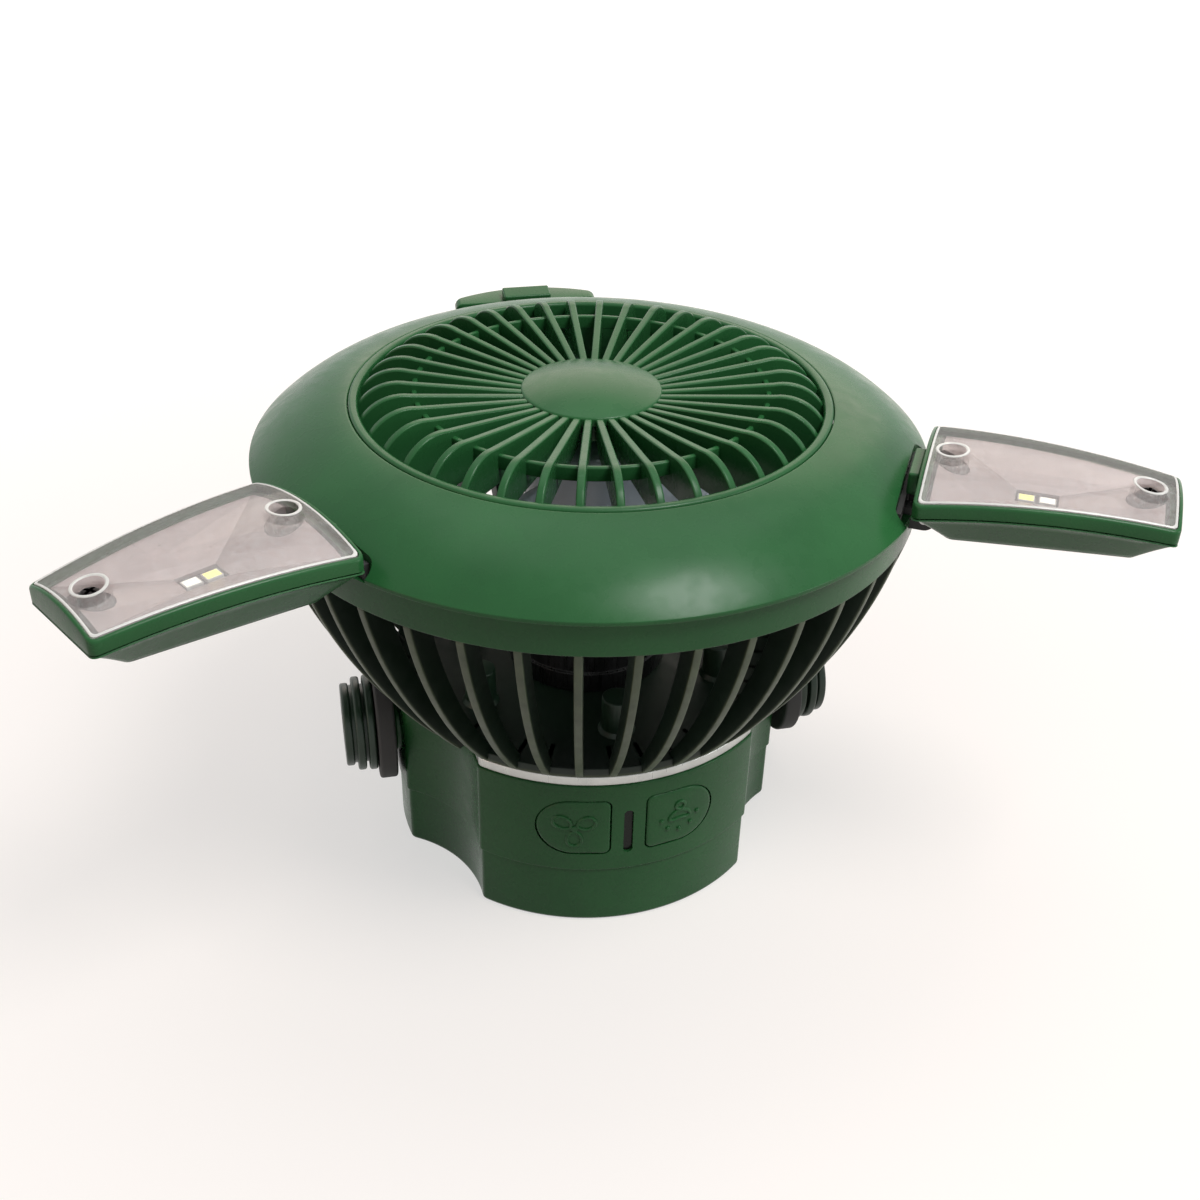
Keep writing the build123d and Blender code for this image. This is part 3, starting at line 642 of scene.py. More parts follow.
class Recipe:
    """A material while its nodes are put together."""

    def __init__(self, name: str) -> None:
        """Starts a material with a Principled shader that reads Object coordinates.

        Args:
            name: Name of the material.
        """
        self.material = bpy.data.materials.new(name)
        self.material.use_nodes = True
        self.tree = self.material.node_tree
        self.shader = next(n for n in self.tree.nodes if n.type == "BSDF_PRINCIPLED")
        self.place = self.tree.nodes.new("ShaderNodeTexCoord").outputs["Object"]

    def set(self, **values: float) -> None:
        """Sets even values on the shader's own sockets, named in lower case.

        Args:
            **values: One value for each socket.
        """
        for socket in self.shader.inputs:
            key = socket.name.lower().replace(" ", "_")
            if key in values:
                socket.default_value = values[key]

    def link(self, source: NodeSocket, name: str) -> None:
        """Links a socket to one of the shader's inputs."""
        self.tree.links.new(source, self.shader.inputs[name])

    def noise(self, scale: float, detail: float = 3.0, stretch: Sequence[float] = (1, 1, 1)) -> NodeSocket:
        """Noise in the object's space.

        Args:
            scale: Patches in one metre.
            detail: How many finer layers it has.
            stretch: Scale of each axis.

        Returns:
            Its value, from about 0.3 to 0.7.
        """
        mapping = self.tree.nodes.new("ShaderNodeMapping")
        mapping.inputs["Scale"].default_value = stretch
        self.tree.links.new(self.place, mapping.inputs["Vector"])
        node = self.tree.nodes.new("ShaderNodeTexNoise")
        node.inputs["Scale"].default_value = scale
        node.inputs["Detail"].default_value = detail
        self.tree.links.new(mapping.outputs[0], node.inputs["Vector"])
        return node.outputs["Fac"]

    def spread(self, value: NodeSocket, low: float, high: float) -> NodeSocket:
        """Noise carried over to a range of values."""
        return ranged(self.tree, value, NOISE_RANGE, (low, high)).outputs[0]

    def between(self, factor: NodeSocket, first: object, second: object) -> NodeSocket:
        """Mix of two colours or colour sockets.

        Args:
            factor: Share of the second colour.
            first: The first colour.
            second: The second colour.

        Returns:
            The mixed colour.
        """
        node = self.tree.nodes.new("ShaderNodeMix")
        node.data_type = "RGBA"
        self.tree.links.new(factor, node.inputs["Factor"])
        for name, colour in (("A", first), ("B", second)):
            socket = next(s for s in node.inputs if s.name == name and s.type == "RGBA")
            if isinstance(colour, NodeSocket):
                self.tree.links.new(colour, socket)
            else:
                socket.default_value = colour
        return next(s for s in node.outputs if s.type == "RGBA")

    def clouded(self, scale: float, shade: str, colour: str, detail: float = 3.0) -> NodeSocket:
        """Two tones of a colour in soft patches."""
        patches = self.spread(self.noise(scale, detail), 0.0, 1.0)
        return self.between(patches, linear(shade), linear(colour))

    def axes(self) -> Sequence[NodeSocket]:
        """The three Object coordinates.

        Returns:
            X, Y and Z.
        """
        node = self.tree.nodes.new("ShaderNodeSeparateXYZ")
        self.tree.links.new(self.place, node.inputs[0])
        return node.outputs

    def bump(self, height: NodeSocket, strength: float, distance: float) -> None:
        """Fine relief on the surface, its depth in metres.

        Args:
            height: The relief.
            strength: How strong it is, from 0 to 1.
            distance: Its depth.
        """
        node = self.tree.nodes.new("ShaderNodeBump")
        node.inputs["Strength"].default_value = strength
        node.inputs["Distance"].default_value = distance
        self.tree.links.new(height, node.inputs["Height"])
        self.link(node.outputs[0], "Normal")


@dataclass(frozen=True)
class Finish:
    """A finish that is made once and then shared."""

    name: str

    def material(self) -> Material:
        """The material of this finish."""
        return bpy.data.materials.get(self.name) or self.made()

    def made(self) -> Material:
        """Makes the material."""
        raise NotImplementedError


@dataclass(frozen=True)
class MouldedPlastic(Finish):
    """Satin plastic with a fine moulded grain and faint cloudy flow marks."""

    colour: str
    shade: str
    roughness: float = 0.42
    grain: float = 0.10
    gloss: float = 0.5
    grains_per_metre: float = 3200.0
    rub_scale: float = 260.0

    def tone(self, recipe: Recipe) -> NodeSocket:
        """Colour of the plastic."""
        return recipe.clouded(45.0, self.shade, self.colour)

    def made(self) -> Material:
        """Makes the material.

        Returns:
            The finished material.
        """
        recipe = Recipe(self.name)
        recipe.link(self.tone(recipe), "Base Color")
        rub_and_highlight_noise = recipe.noise(self.rub_scale, 5.0)
        recipe.link(recipe.spread(rub_and_highlight_noise, self.roughness - 0.05, self.roughness + 0.06), "Roughness")
        recipe.bump(recipe.noise(self.grains_per_metre, 2.0), self.grain, GRAIN_DEPTH)
        recipe.set(specular_ior_level=self.gloss)
        return recipe.material


@dataclass(frozen=True)
class PaintedShadeCagePlastic(MouldedPlastic):
    """Cage plastic painted dark as shade, with a painted highlight along the outer edges of its ribs."""

    # Colour of the painted highlight along the ribs' outer edges.
    edge: str = "535F4A"
    centre: Point = (-40.394, 120.585)
    reach: float = 116.551
    edge_depth: float = 0.7
    rub_scale: float = 300.0

    def tone(self, recipe: Recipe) -> NodeSocket:
        """Colour of the plastic, with a painted highlight near the arc that the ribs' outer edges follow.

        Args:
            recipe: The material in the making.

        Returns:
            The colour.
        """
        tree = recipe.tree
        x, y, z = recipe.axes()
        out = math_node(tree, "SUBTRACT", hypotenuse(tree, x, y), self.centre[0] * METRES)
        rise = math_node(tree, "SUBTRACT", z, self.centre[1] * METRES)
        limits = ((self.reach - self.edge_depth) * METRES, (self.reach - 0.1) * METRES)
        edge = ranged(tree, hypotenuse(tree, out, rise), limits)
        edge.interpolation_type = "SMOOTHSTEP"
        # Noise varies the strength of the painted highlight.
        rub_and_highlight_noise = recipe.spread(recipe.noise(260.0, 5.0), -0.2, 0.2)
        painted_highlight = math_node(tree, "MULTIPLY", edge.outputs[0], math_node(tree, "ADD", rub_and_highlight_noise, 0.8))
        return recipe.between(painted_highlight, super().tone(recipe), linear(self.edge))


@dataclass(frozen=True)
class ClearPlastic(Finish):
    """Clear moulded acrylic with hair-fine scuffs, and a faint pinkish milky layer that is partly haze and
    partly painted reflection.
    """

    colour: str
    roughness: float = 0.05
    haze_and_reflection: float = 0.22

    def made(self) -> Material:
        """Makes the material.

        Returns:
            The finished material.
        """
        recipe = Recipe(self.name)
        haze_and_reflection = recipe.noise(900.0, 6.0)
        # The pinkish tone of the milky layer is partly painted reflection.
        tone = recipe.between(recipe.spread(haze_and_reflection, 0.0, 1.0), linear("F4F3F1"), linear(self.colour))
        recipe.link(tone, "Base Color")
        recipe.link(recipe.spread(haze_and_reflection, self.roughness * 0.5, self.roughness * 2.0), "Roughness")
        recipe.set(ior=1.49, specular_ior_level=1.0, alpha=self.haze_and_reflection)
        return recipe.material


@dataclass(frozen=True)
class BareMetal(Finish):
    """Plated or polished metal with fine drawn marks."""

    colour: str
    shade: str
    roughness: float = 0.25
    marks: float = 0.06
    metallic: float = 1.0

    def made(self) -> Material:
        """Makes the material.

        Returns:
            The finished material.
        """
        recipe = Recipe(self.name)
        recipe.link(recipe.clouded(180.0, self.shade, self.colour), "Base Color")
        drawn = recipe.noise(1500.0, 4.0, (1.0, 1.0, 0.08))
        recipe.link(recipe.spread(drawn, self.roughness * 0.7, self.roughness * 1.4), "Roughness")
        recipe.bump(drawn, self.marks, MARK_DEPTH)
        recipe.set(metallic=self.metallic)
        return recipe.material


@dataclass(frozen=True)
class LightChip(Finish):
    """Phosphor gel of a light chip, clouded at the edges, with a faint painted glow."""

    colour: str
    shade: str

    def made(self) -> Material:
        """Makes the material.

        Returns:
            The finished material.
        """
        recipe = Recipe(self.name)
        tone = recipe.clouded(2600.0, self.shade, self.colour, 5.0)
        for name in ("Base Color", "Emission Color"):
            recipe.link(tone, name)
        # The faint emission is a painted glow that brightens the chips.
        recipe.set(roughness=0.3, emission_strength=0.9)
        return recipe.material


@dataclass(frozen=True)
class SolarCells(Finish):
    """Dark blue cells with thin silver fingers and bus bars, under clear resin."""

    cell: str = "141B33"
    finger: str = "9FA6AE"
    cell_pitch: float = 0.0183
    finger_pitch: float = 0.0018

    def made(self) -> Material:
        """Makes the material.

        Returns:
            The finished material.
        """
        recipe = Recipe(self.name)
        tree = recipe.tree
        x, y, _ = recipe.axes()
        rows = ((x, self.cell_pitch, 0.05), (y, self.finger_pitch, 0.1), (y, self.cell_pitch, 0.02))
        lines = []
        for axis, pitch, width in rows:
            saw = math_node(tree, "PINGPONG", math_node(tree, "DIVIDE", axis, pitch), 0.5)
            lines.append(math_node(tree, "LESS_THAN", saw, width))
        grid = math_node(tree, "MAXIMUM", math_node(tree, "MAXIMUM", lines[0], lines[1]), lines[2])
        blue = recipe.clouded(120.0, self.cell, "1D2A52", 8.0)
        recipe.link(recipe.between(grid, blue, linear(self.finger)), "Base Color")
        recipe.link(recipe.spread(recipe.noise(700.0), 0.12, 0.2), "Roughness")
        recipe.set(coat_weight=0.6, coat_roughness=0.08)
        return recipe.material


GREEN = MouldedPlastic("forest_green_plastic", "2A6035", "24562F", 0.27, 0.06, 0.19)
# The cage's dark colour is painted shade; its ribs' outer edges carry a painted highlight.
CAGE_PAINTED_SHADE = PaintedShadeCagePlastic("cage_plastic", "16271B", "101D14", 0.45, 0.10, 0.3)
DARK_GREEN = MouldedPlastic("dark_green_plastic", "203A28", "192E20", 0.35, 0.10, 0.4)
SILVER = BareMetal("silver_painted_plastic", "D3D6D3", "C6C9C6", 0.34, 0.03, 0.6)
BLACK = MouldedPlastic("black_plastic", "131413", "0C0D0C", 0.45)
BLADE = MouldedPlastic("pale_blade_plastic", "B4BCC6", "A8B1BB", 0.35)
# Pale white: the chip frames' own colour, and a painted highlight where it beads the lens's edges.
EDGE = MouldedPlastic("frosted_lens_edge", "DFDFDB", "CDCDC9", 0.25)
SMOKE = MouldedPlastic("smoked_window", "10150F", "0A0E0A", 0.25, 0.02, 0.2)
BOARD = MouldedPlastic("circuit_board", "1C5433", "17462B", 0.3, 0.2)
LAMP_BOARD = MouldedPlastic("lamp_board", "1B1C1B", "141514", 0.35)
SLEEVE = MouldedPlastic("cell_sleeve", "2A4C86", "24447A", 0.3)
# The cover's pinkish tone is partly painted reflection.
CLEAR = ClearPlastic("clear_cover_plastic", "D2C4C1")
MIRROR = BareMetal("metallised_reflector", "B0A19E", "A29492", 0.36, 0.03, 0.4)
STEEL = BareMetal("plated_steel", "B9B9B8", "A3A3A3", 0.28)
DARK_STEEL = BareMetal("blackened_steel", "2E2B2A", "221F1F", 0.3)
MOTOR = BareMetal("motor_black_coat", "1A1B1C", "121313", 0.3, 0.04, 0.4)
WARM_CHIP = LightChip("warm_light_chip", "F7EC8C", "EBDC6A")
WHITE_CHIP = LightChip("white_light_chip", "F2F1E4", "E6E4CF")
CELLS = SolarCells("solar_cells")


def wheel(mesh: Mesh, finish: Finish, count: int, first: float = 0.0) -> Mesh:
    """Copies of a shape round the fan axis, the first turned by an angle in degrees."""
    return WHEEL.applied(mesh, finish.material(), count=count, first_angle=math.radians(first))


def place(name: str, mesh: Mesh, finish: Finish | None, body: str,
          nodes: Sequence[str] = (), smooth: float = 32.0) -> Object:
    """Makes a finished piece from a mesh in millimetres.

    Args:
        name: Name of the piece.
        mesh: Its mesh, already in place.
        finish: Its finish, or None where the mesh has its own.
        body: The body it moves with.
        nodes: The nodes that it stands for.
        smooth: Angle in degrees up to which neighbouring faces shade as one.

    Returns:
        The piece.
    """
    mesh.transform(Matrix.Scale(METRES, 4))
    mesh.name = name
    if finish is not None:
        mesh.materials.clear()
        mesh.materials.append(finish.material())
    mesh.shade_smooth()
    mesh.set_sharp_from_angle(angle=math.radians(smooth))
    piece = linked(name, mesh)
    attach(piece, body)
    if nodes:
        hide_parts(*nodes)
    LOG.info("%s: %d faces on %s", name, len(mesh.polygons), body)
    return piece


def dress_node(node: str, finish: Finish) -> None:
    """Gives a carried-over node its finish.

    Args:
        node: Name of the node.
        finish: Its finish.
    """
    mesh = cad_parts[node].data
    mesh.materials.clear()
    mesh.materials.append(finish.material())
    LOG.info("%s: kept as drawn, %s", node, finish.name)


# Sub-assemblies


@dataclass
class BasePlan:
    """Round plan with a concave scallop under each leaf and rounded lobe corners."""

    radius: float = 47.5
    scallop_radius: float = 28.0
    scallop_bottom: float = 41.6
    corner: float = 1.8

    def outline(self, inset: float = 0.0) -> list[Point]:
        """Points of the plan, drawn in by an inset.

        Args:
            inset: Distance inwards from the full plan.

        Returns:
            The closed outline.
        """
        radius = self.radius - inset
        hollow = self.scallop_radius + inset
        away = self.scallop_bottom + self.scallop_radius
        reach = radius - self.corner
        span = hollow + self.corner
        along = (reach ** 2 - span ** 2 + away ** 2) / (2 * away)
        across = math.sqrt(reach ** 2 - along ** 2)
        centre = Vector((along, across))
        rim_touch = centre.normalized() * radius
        scallop = Vector((away, 0))
        dip_touch = scallop + (centre - scallop).normalized() * hollow
        to_rim, to_dip = ((touch - centre).normalized() for touch in (rim_touch, dip_touch))
        corner_mid = centre + (to_rim + to_dip).normalized() * self.corner
        dip = arc(tuple(dip_touch * Vector((1, -1))), (self.scallop_bottom - inset, 0), tuple(dip_touch), 40)
        corner = arc(tuple(dip_touch), tuple(corner_mid), tuple(rim_touch), 10)
        half = math.degrees(math.atan2(rim_touch.y, rim_touch.x))
        sweep = THIRD - 2 * half
        lobe = [swing((radius, 0), half + sweep * k / LOBE_STEPS) for k in range(LOBE_STEPS + 1)]
        other = [swing((x, -y), THIRD) for x, y in reversed(corner)]
        third = dip[:-1] + corner[:-1] + lobe[:-1] + other[:-1]
        return [swing(point, leaf.azimuth) for leaf in Leaf for point in third]


def stepped(outlines: Sequence[tuple[list[Point], float]]) -> Mesh:
    """Solid through plan outlines at rising heights."""
    return from_rings([level(outline, z) for outline, z in outlines])


def soft_prism(plan: BasePlan, inset: float, low: float, high: float,
               soft_low: float, soft_high: float) -> Mesh:
    """Upright prism of the base plan with rounded lower and upper edges.

    Args:
        plan: The base plan.
        inset: Distance in from the plan.
        low: Height of the foot.
        high: Height of the top.
        soft_low: Radius of the lower edge.
        soft_high: Radius of the upper edge.

    Returns:
        The prism.
    """
    rows = [(plan.outline(inset + side), low + end) for side, end in quarter(soft_low)]
    rows += [(plan.outline(inset + side), high - end) for end, side in quarter(soft_high)]
    return stepped(rows)


@dataclass(frozen=True)
class Pocket:
    """Space in the head's rim behind a leaf: a wide pocket over a narrow slot for the hinge."""

    back: float = 70.0
    front: float = 82.0
    half: float = 17.1
    corner: float = 2.4
    low_z: float = 101.2
    slot_half: float = 7.5
    slot_z: float = 97.5
    high_z: float = 116.0

    def tools(self) -> list[Mesh]:
        """Solids that clear the rim at the three leaves.

        Returns:
            Two solids for each leaf.
        """
        wide = rounded([(self.back, -self.half, self.corner), (self.front, -self.half, 0),
                        (self.front, self.half, 0), (self.back, self.half, self.corner)], 8)
        slot = box((self.back, -self.slot_half, self.slot_z), (self.front, self.slot_half, self.low_z + 1))
        spaces = [prism(wide, self.low_z, self.high_z), slot]
        return [moved(space, about_z(leaf.azimuth)) for leaf in Leaf for space in spaces]


@dataclass
class Head:
    """Shroud with its smooth shoulder, and the grille of curved ribs round a domed hub."""

    edge_radius: float = 75.0
    edge_z: float = 103.5
    rim_z: float = 102.6
    crown: Point = (64.9, 110.6)
    lip_radius: float = 53.2
    lip_z: float = 114.6
    wall: float = 2.4
    seat_width: float = 3.8
    rib_count: int = 40
    first_rib: float = 3.3
    rib_width: float = 1.7
    lip_width: float = 2.2
    hub_radius: float = 15.6
    hub_rim_z: float = 115.4
    hub_crown_z: float = 117.8
    hub_foot_z: float = 109.0
    duct_z: float = 91.0
    rib_toe_z: float = 105.1
    rib_foot_z: float = 109.6
    hoop_radius: float = 39.4
    hoop_z: tuple[float, float] = (113.2, 116.4)
    hoop_width: float = 1.2
    rib_crest: Point = (40.0, 117.9)
    rib_shoulder: Point = (47.6, 116.7)
    rib_end_z: float = 112.0
    rib_root_z: float = 115.0
    rib_heel: float = 44.0
    rib_overlap: float = 0.8
    hub_lip: float = 2.0
    lip_step: float = 0.3

    def shroud(self) -> Mesh:
        """The shoulder between the rim and the lip.

        Returns:
            Its mesh.
        """
        inner_z = self.lip_z - self.lip_step
        top = arc((self.lip_radius, inner_z), self.crown, (self.edge_radius, self.edge_z), 40)
        under = arc((self.edge_radius - self.seat_width, self.rim_z),
                    (self.crown[0] - self.wall / 2, self.crown[1] - self.wall),
                    (self.lip_radius, inner_z - self.wall), 24)
        edge = [(*top[-1], 0.35), (self.edge_radius, self.rim_z, 0.25)]
        profile = rounded([(*top[0], 0.4), *sharp(top[1:-1]), *edge, *sharp(under)])
        return softened(carved(lathe(profile), Pocket().tools()), 0.3, 2, 50)

    def rib(self) -> Mesh:
        """One rib from the hub, over its crest and down to the lip.

        Returns:
            Its mesh.
        """
        root, end = self.hub_radius - self.lip_width, self.lip_radius - self.lip_width + self.rib_overlap
        bend = arc(self.rib_crest, self.rib_shoulder, (end, self.rib_end_z), 16)
        side = [(root, self.rib_root_z), *bend, (end, self.rib_toe_z),
                (self.rib_heel, self.rib_foot_z), (root, self.rib_foot_z)]
        half = self.rib_width / 2
        return softened(frontal(side, -half, half), 0.42, 3)

    def ring(self) -> Mesh:
        """The lip's ring, which the ribs run into, and its duct round the fan.

        Returns:
            Its mesh.
        """
        outer, inner = self.lip_radius - 0.1, self.lip_radius - self.lip_width
        return lathe(rounded([(outer, self.duct_z, 0.3), (outer, self.lip_z, 0.7),
                              (inner, self.lip_z, 0.8), (inner, self.duct_z, 0.3)]))

    def hub(self) -> Mesh:
        """The domed hub.

        Returns:
            Its mesh.
        """
        rise = self.hub_crown_z - self.hub_rim_z
        ball = (self.hub_radius ** 2 + rise ** 2) / (2 * rise)
        steps = 16
        dome = [(r, self.hub_crown_z - ball + math.sqrt(ball ** 2 - r ** 2))
                for r in (self.hub_radius * (1 - k / steps) for k in range(steps + 1))]
        rim = self.hub_rim_z - self.hub_lip
        skirt = self.hub_radius - self.hub_lip
        return lathe(rounded([(0, self.hub_foot_z, 0), (skirt, self.hub_foot_z, 0.3), (skirt, rim, 0),
                              (self.hub_radius, rim, 0.3), (*dome[0], 0.6), *sharp(dome[1:])]), 128)

    def hoop(self) -> Mesh:
        """The thin hoop that ties the ribs together."""
        return tube(self.hoop_radius, self.hoop_radius - self.hoop_width, *self.hoop_z, 0.3, 0.4, 160)

    def build(self) -> None:
        """Makes and places the shroud and the grille."""
        place("shroud", self.shroud(), GREEN, "housing", ["top_shroud"], 30)
        ribs = wheel(self.rib(), GREEN, self.rib_count, self.first_rib)
        place("grille_ribs", ribs, None, "housing", ["front_grille"])
        for word, mesh in (("ring", self.ring()), ("hub", self.hub()), ("hoop", self.hoop())):
            place(f"grille_{word}", mesh, GREEN, "housing")


@dataclass
class Cage:
    """Bowl of ribs between the head's band and the floor that the motor stands on."""

    plan: BasePlan
    rib_count: int = 40
    first_rib: float = 4.2
    rib_width: float = 1.8
    rib_depth: float = 5.0
    band_radius: float = 73.2
    band_wall: float = 2.0
    band_z: tuple[float, float] = (94.5, 102.6)
    belly: Point = (66.0, 73.0)
    foot_radius: float = 47.2
    floor_z: tuple[float, float] = (43.6, 46.0)
    boss_place: float = 33.0
    boss_count: int = 6
    first_boss: float = 30.0
    boss_radii: tuple[float, float, float] = (4.3, 3.6, 3.5)
    boss_height: float = 9.0
    toe_length: float = 8.5

    def rib(self) -> Mesh:
        """One rib of the bowl.

        Returns:
            Its mesh.
        """
        head = self.band_radius - self.band_wall / 2
        top = self.band_z[0] + self.band_wall
        foot, floor = self.floor_z[0] + 0.1, self.floor_z[1]
        toe = self.foot_radius - self.toe_length
        outer = arc((self.band_radius, self.band_z[0]), self.belly, (self.foot_radius, foot), 24)
        inner = arc((self.foot_radius - self.rib_depth / 2, floor),
                    (self.belly[0] - self.rib_depth, self.belly[1] + self.rib_depth / 2),
                    (head - self.rib_depth, top), 24)
        side = [(head, top), *outer, (toe, foot), (toe, floor), *inner]
        half = self.rib_width / 2
        return softened(frontal(side, -half, half), 0.4, 2)

    def band(self) -> Mesh:
        """The band under the head's rim."""
        ring = tube(self.band_radius, self.band_radius - self.band_wall, *self.band_z, 0.4, 0)
        return carved(ring, Pocket().tools())

    def boss(self) -> Mesh:
        """One screw boss on the floor.

        Returns:
            Its mesh.
        """
        floor = self.floor_z[1]
        top = floor + self.boss_height
        flare, root, tip = self.boss_radii
        post = lathe(rounded([(0, floor, 0), (flare, floor, 0), (root, floor + 1.0, 0.4),
                              (tip, top, 0.4), (0, top, 0)]), 40)
        return moved(post, shift(self.boss_place))

    def build(self) -> None:
        """Makes and places the ribs, the band, the floor and its bosses."""
        # The ribs take the cage's painted shade and painted edge highlight.
        ribs = wheel(self.rib(), CAGE_PAINTED_SHADE, self.rib_count, self.first_rib)
        place("cage_ribs", ribs, None, "housing", ["rear_cage"])
        place("cage_band", self.band(), GREEN, "housing")
        floor = soft_prism(self.plan, 0.4, *self.floor_z, 0.3, 0.3)
        # The floor inside the cage takes its dark colour as painted shade.
        place("cage_floor", floor, CAGE_PAINTED_SHADE, "housing")
        bosses = wheel(self.boss(), DARK_GREEN, self.boss_count, self.first_boss)
        place("cage_bosses", bosses, None, "housing")


@dataclass
class Fan:
    """Motor on the cage's floor and the fan that turns on its shaft."""

    motor_radii: tuple[float, float] = (19.0, 18.5)
    seams: tuple[float, float] = (5.0, 5.4)
    bush_radius: float = 5.0
    bush_height: float = 3.0
    bush_bore: float = 1.6
    bore_depth: float = 10.3
    motor_z: tuple[float, float] = (46.0, 76.0)
    hub_radius: float = 14.5
    hub_z: tuple[float, float] = (84.0, 105.0)
    blade_count: int = 5
    blade_tip: float = 47.0
    blade_mid_z: float = 95.0
    chords: tuple[float, float] = (24.0, 36.0)
    pitches: tuple[float, float] = (46.0, 27.0)
    thickness: float = 1.6
    camber: float = 1.1
    root_overlap: float = 1.2
    trim_start: float = 0.8
    boss_radius: float = 5.0
    hub_wall: float = 2.5
    hub_roof: float = 5.0
    shaft_bore: float = 1.55
    cap_top_z: float = 108.6

    def motor(self) -> Mesh:
        """The can with its rolled seam, rounded shoulder and bearing bush.

        Returns:
            Its mesh.
        """
        low, high = self.motor_z
        wide, waist = self.motor_radii
        seam, slope = self.seams
        bush, bore = self.bush_radius, self.bush_bore
        tip, end = high + self.bush_height, high - self.bore_depth
        profile = [(0, low, 0), (wide, low, 0.4), (wide, low + seam, 0.2), (waist, low + slope, 0.2),
                   (waist, high - slope, 0.2), (wide, high - seam, 0.2), (wide, high, 2.0), (bush, high, 0.3),
                   (bush, tip, 0.5), (bore, tip, 0), (bore, end, 0), (0, end, 0)]
        return lathe(rounded(profile), 128)

    def trim(self, share: float) -> float:
        """Share of the chord that is left at a share of the blade's length, less near its tip.

        Args:
            share: Place along the blade, 0 at the hub and 1 at the tip.

        Returns:
            The share of the chord.
        """
        if share < self.trim_start:
            return 1.0
        return math.sqrt(max(1 - ((share - self.trim_start) / 0.26) ** 2, 0.0)) * 0.4 + 0.6

    def blade(self) -> Mesh:
        """One twisted blade, cambered, thin at its edges and rounded at its tip corners.

        Returns:
            Its mesh.
        """
        root = self.hub_radius - self.root_overlap
        rings = []
        rows, columns = 18, 12
        for k in range(rows + 1):
            share = k / rows
            radius = mix((root, self.blade_tip), share)
            chord = mix(self.chords, share)
            pitch = math.radians(mix(self.pitches, share))
            ring = []
            for side in (1, -1):
                for j in range(columns):
                    u = (j / (columns - 1) * 2 - 1) * side
                    thick = self.thickness / 2 * math.sqrt(max(1 - abs(u) ** 4, 0.01))
                    along, up = u * chord * self.trim(share) / 2, side * thick + self.camber * (1 - u * u)
                    lift = along * math.sin(pitch) + up * math.cos(pitch)
                    sweep = along * math.cos(pitch) - up * math.sin(pitch)
                    angle = sweep / radius
                    ring.append((radius * math.cos(angle), radius * math.sin(angle), self.blade_mid_z + lift))
            rings.append(ring)
        return from_rings(rings)

    def hub(self) -> Mesh:
        """The fan's hub, hollow below.

        Returns:
            Its mesh.
        """
        low, high = self.hub_z
        wide, wall = self.hub_radius, self.hub_radius - self.hub_wall
        boss, bore, roof = self.boss_radius, self.shaft_bore, high - self.hub_roof
        return lathe(rounded([(bore, low, 0), (boss, low, 0.3), (boss, roof, 0), (wall, roof, 0),
                              (wall, low, 0.3), (wide, low, 0.4), (wide, high, 3.0), (bore, high, 0)]), 128)

    def build(self) -> None:
        """Makes and places the motor and the fan."""
        place("motor", self.motor(), MOTOR, "housing", ["motor_can"])
        blades = wheel(self.blade(), BLADE, self.blade_count)
        place("fan_blades", blades, None, "rotor", ["impeller"])
        place("fan_hub", self.hub(), BLADE, "rotor")
        cap = rod(self.boss_radius, self.hub_z[1], self.cap_top_z, 0.8)
        cap = carved(cap, [rod(self.shaft_bore, 100, 107)])
        place("fan_cap", cap, BLADE, "rotor", ["shaft_cap"])
        dress_node("motor_shaft", STEEL)


def along_x(mesh: Mesh, side: Side) -> Mesh:
    """A shape turned from the fan axis to the bail's pivot axis, on one side."""
    turn = Matrix.Rotation(math.radians(90 * side.value), 4, "Y")
    return moved(mesh, shift(0, 0, PIVOT_Z) @ turn)


def frontal(outline: Sequence[Point], near: float, far: float) -> Mesh:
    """Prism of a front-view outline between two places along Y."""
    return from_rings([[(x, y, z) for x, z in outline] for y in (near, far)])


def pill(half: float, low: float, high: float, soft: float) -> list[Point]:
    """Front-view outline, as wide to the left as to the right, with its corners rounded."""
    return rounded([(-half, low, soft), (half, low, soft), (half, high, soft), (-half, high, soft)], 8)


def ridge(path: Sequence[Point], radius: float) -> Mesh:
    """Round bead that follows a closed flat path, half of it above the plane.

    Args:
        path: Points of the closed path.
        radius: Radius of the bead.

    Returns:
        The bead.
    """
    rings: list[Ring] = []
    for k, (x, y) in enumerate(path):
        after, before = path[(k + 1) % len(path)], path[k - 1]
        along = Vector((after[0] - before[0], after[1] - before[1])).normalized()
        ring = []
        for t in (math.tau * j / BEAD_STEPS for j in range(BEAD_STEPS)):
            across, up = math.cos(t), radius * math.sin(t)
            ring.append((x - along.y * radius * across, y + along.x * radius * across, up))
        rings.append(ring)
    return from_rings(rings, looped=True)


class Icon(Enum):
    """Raised signs on the two buttons."""

    FAN = "fan"
    LAMP = "lamp"


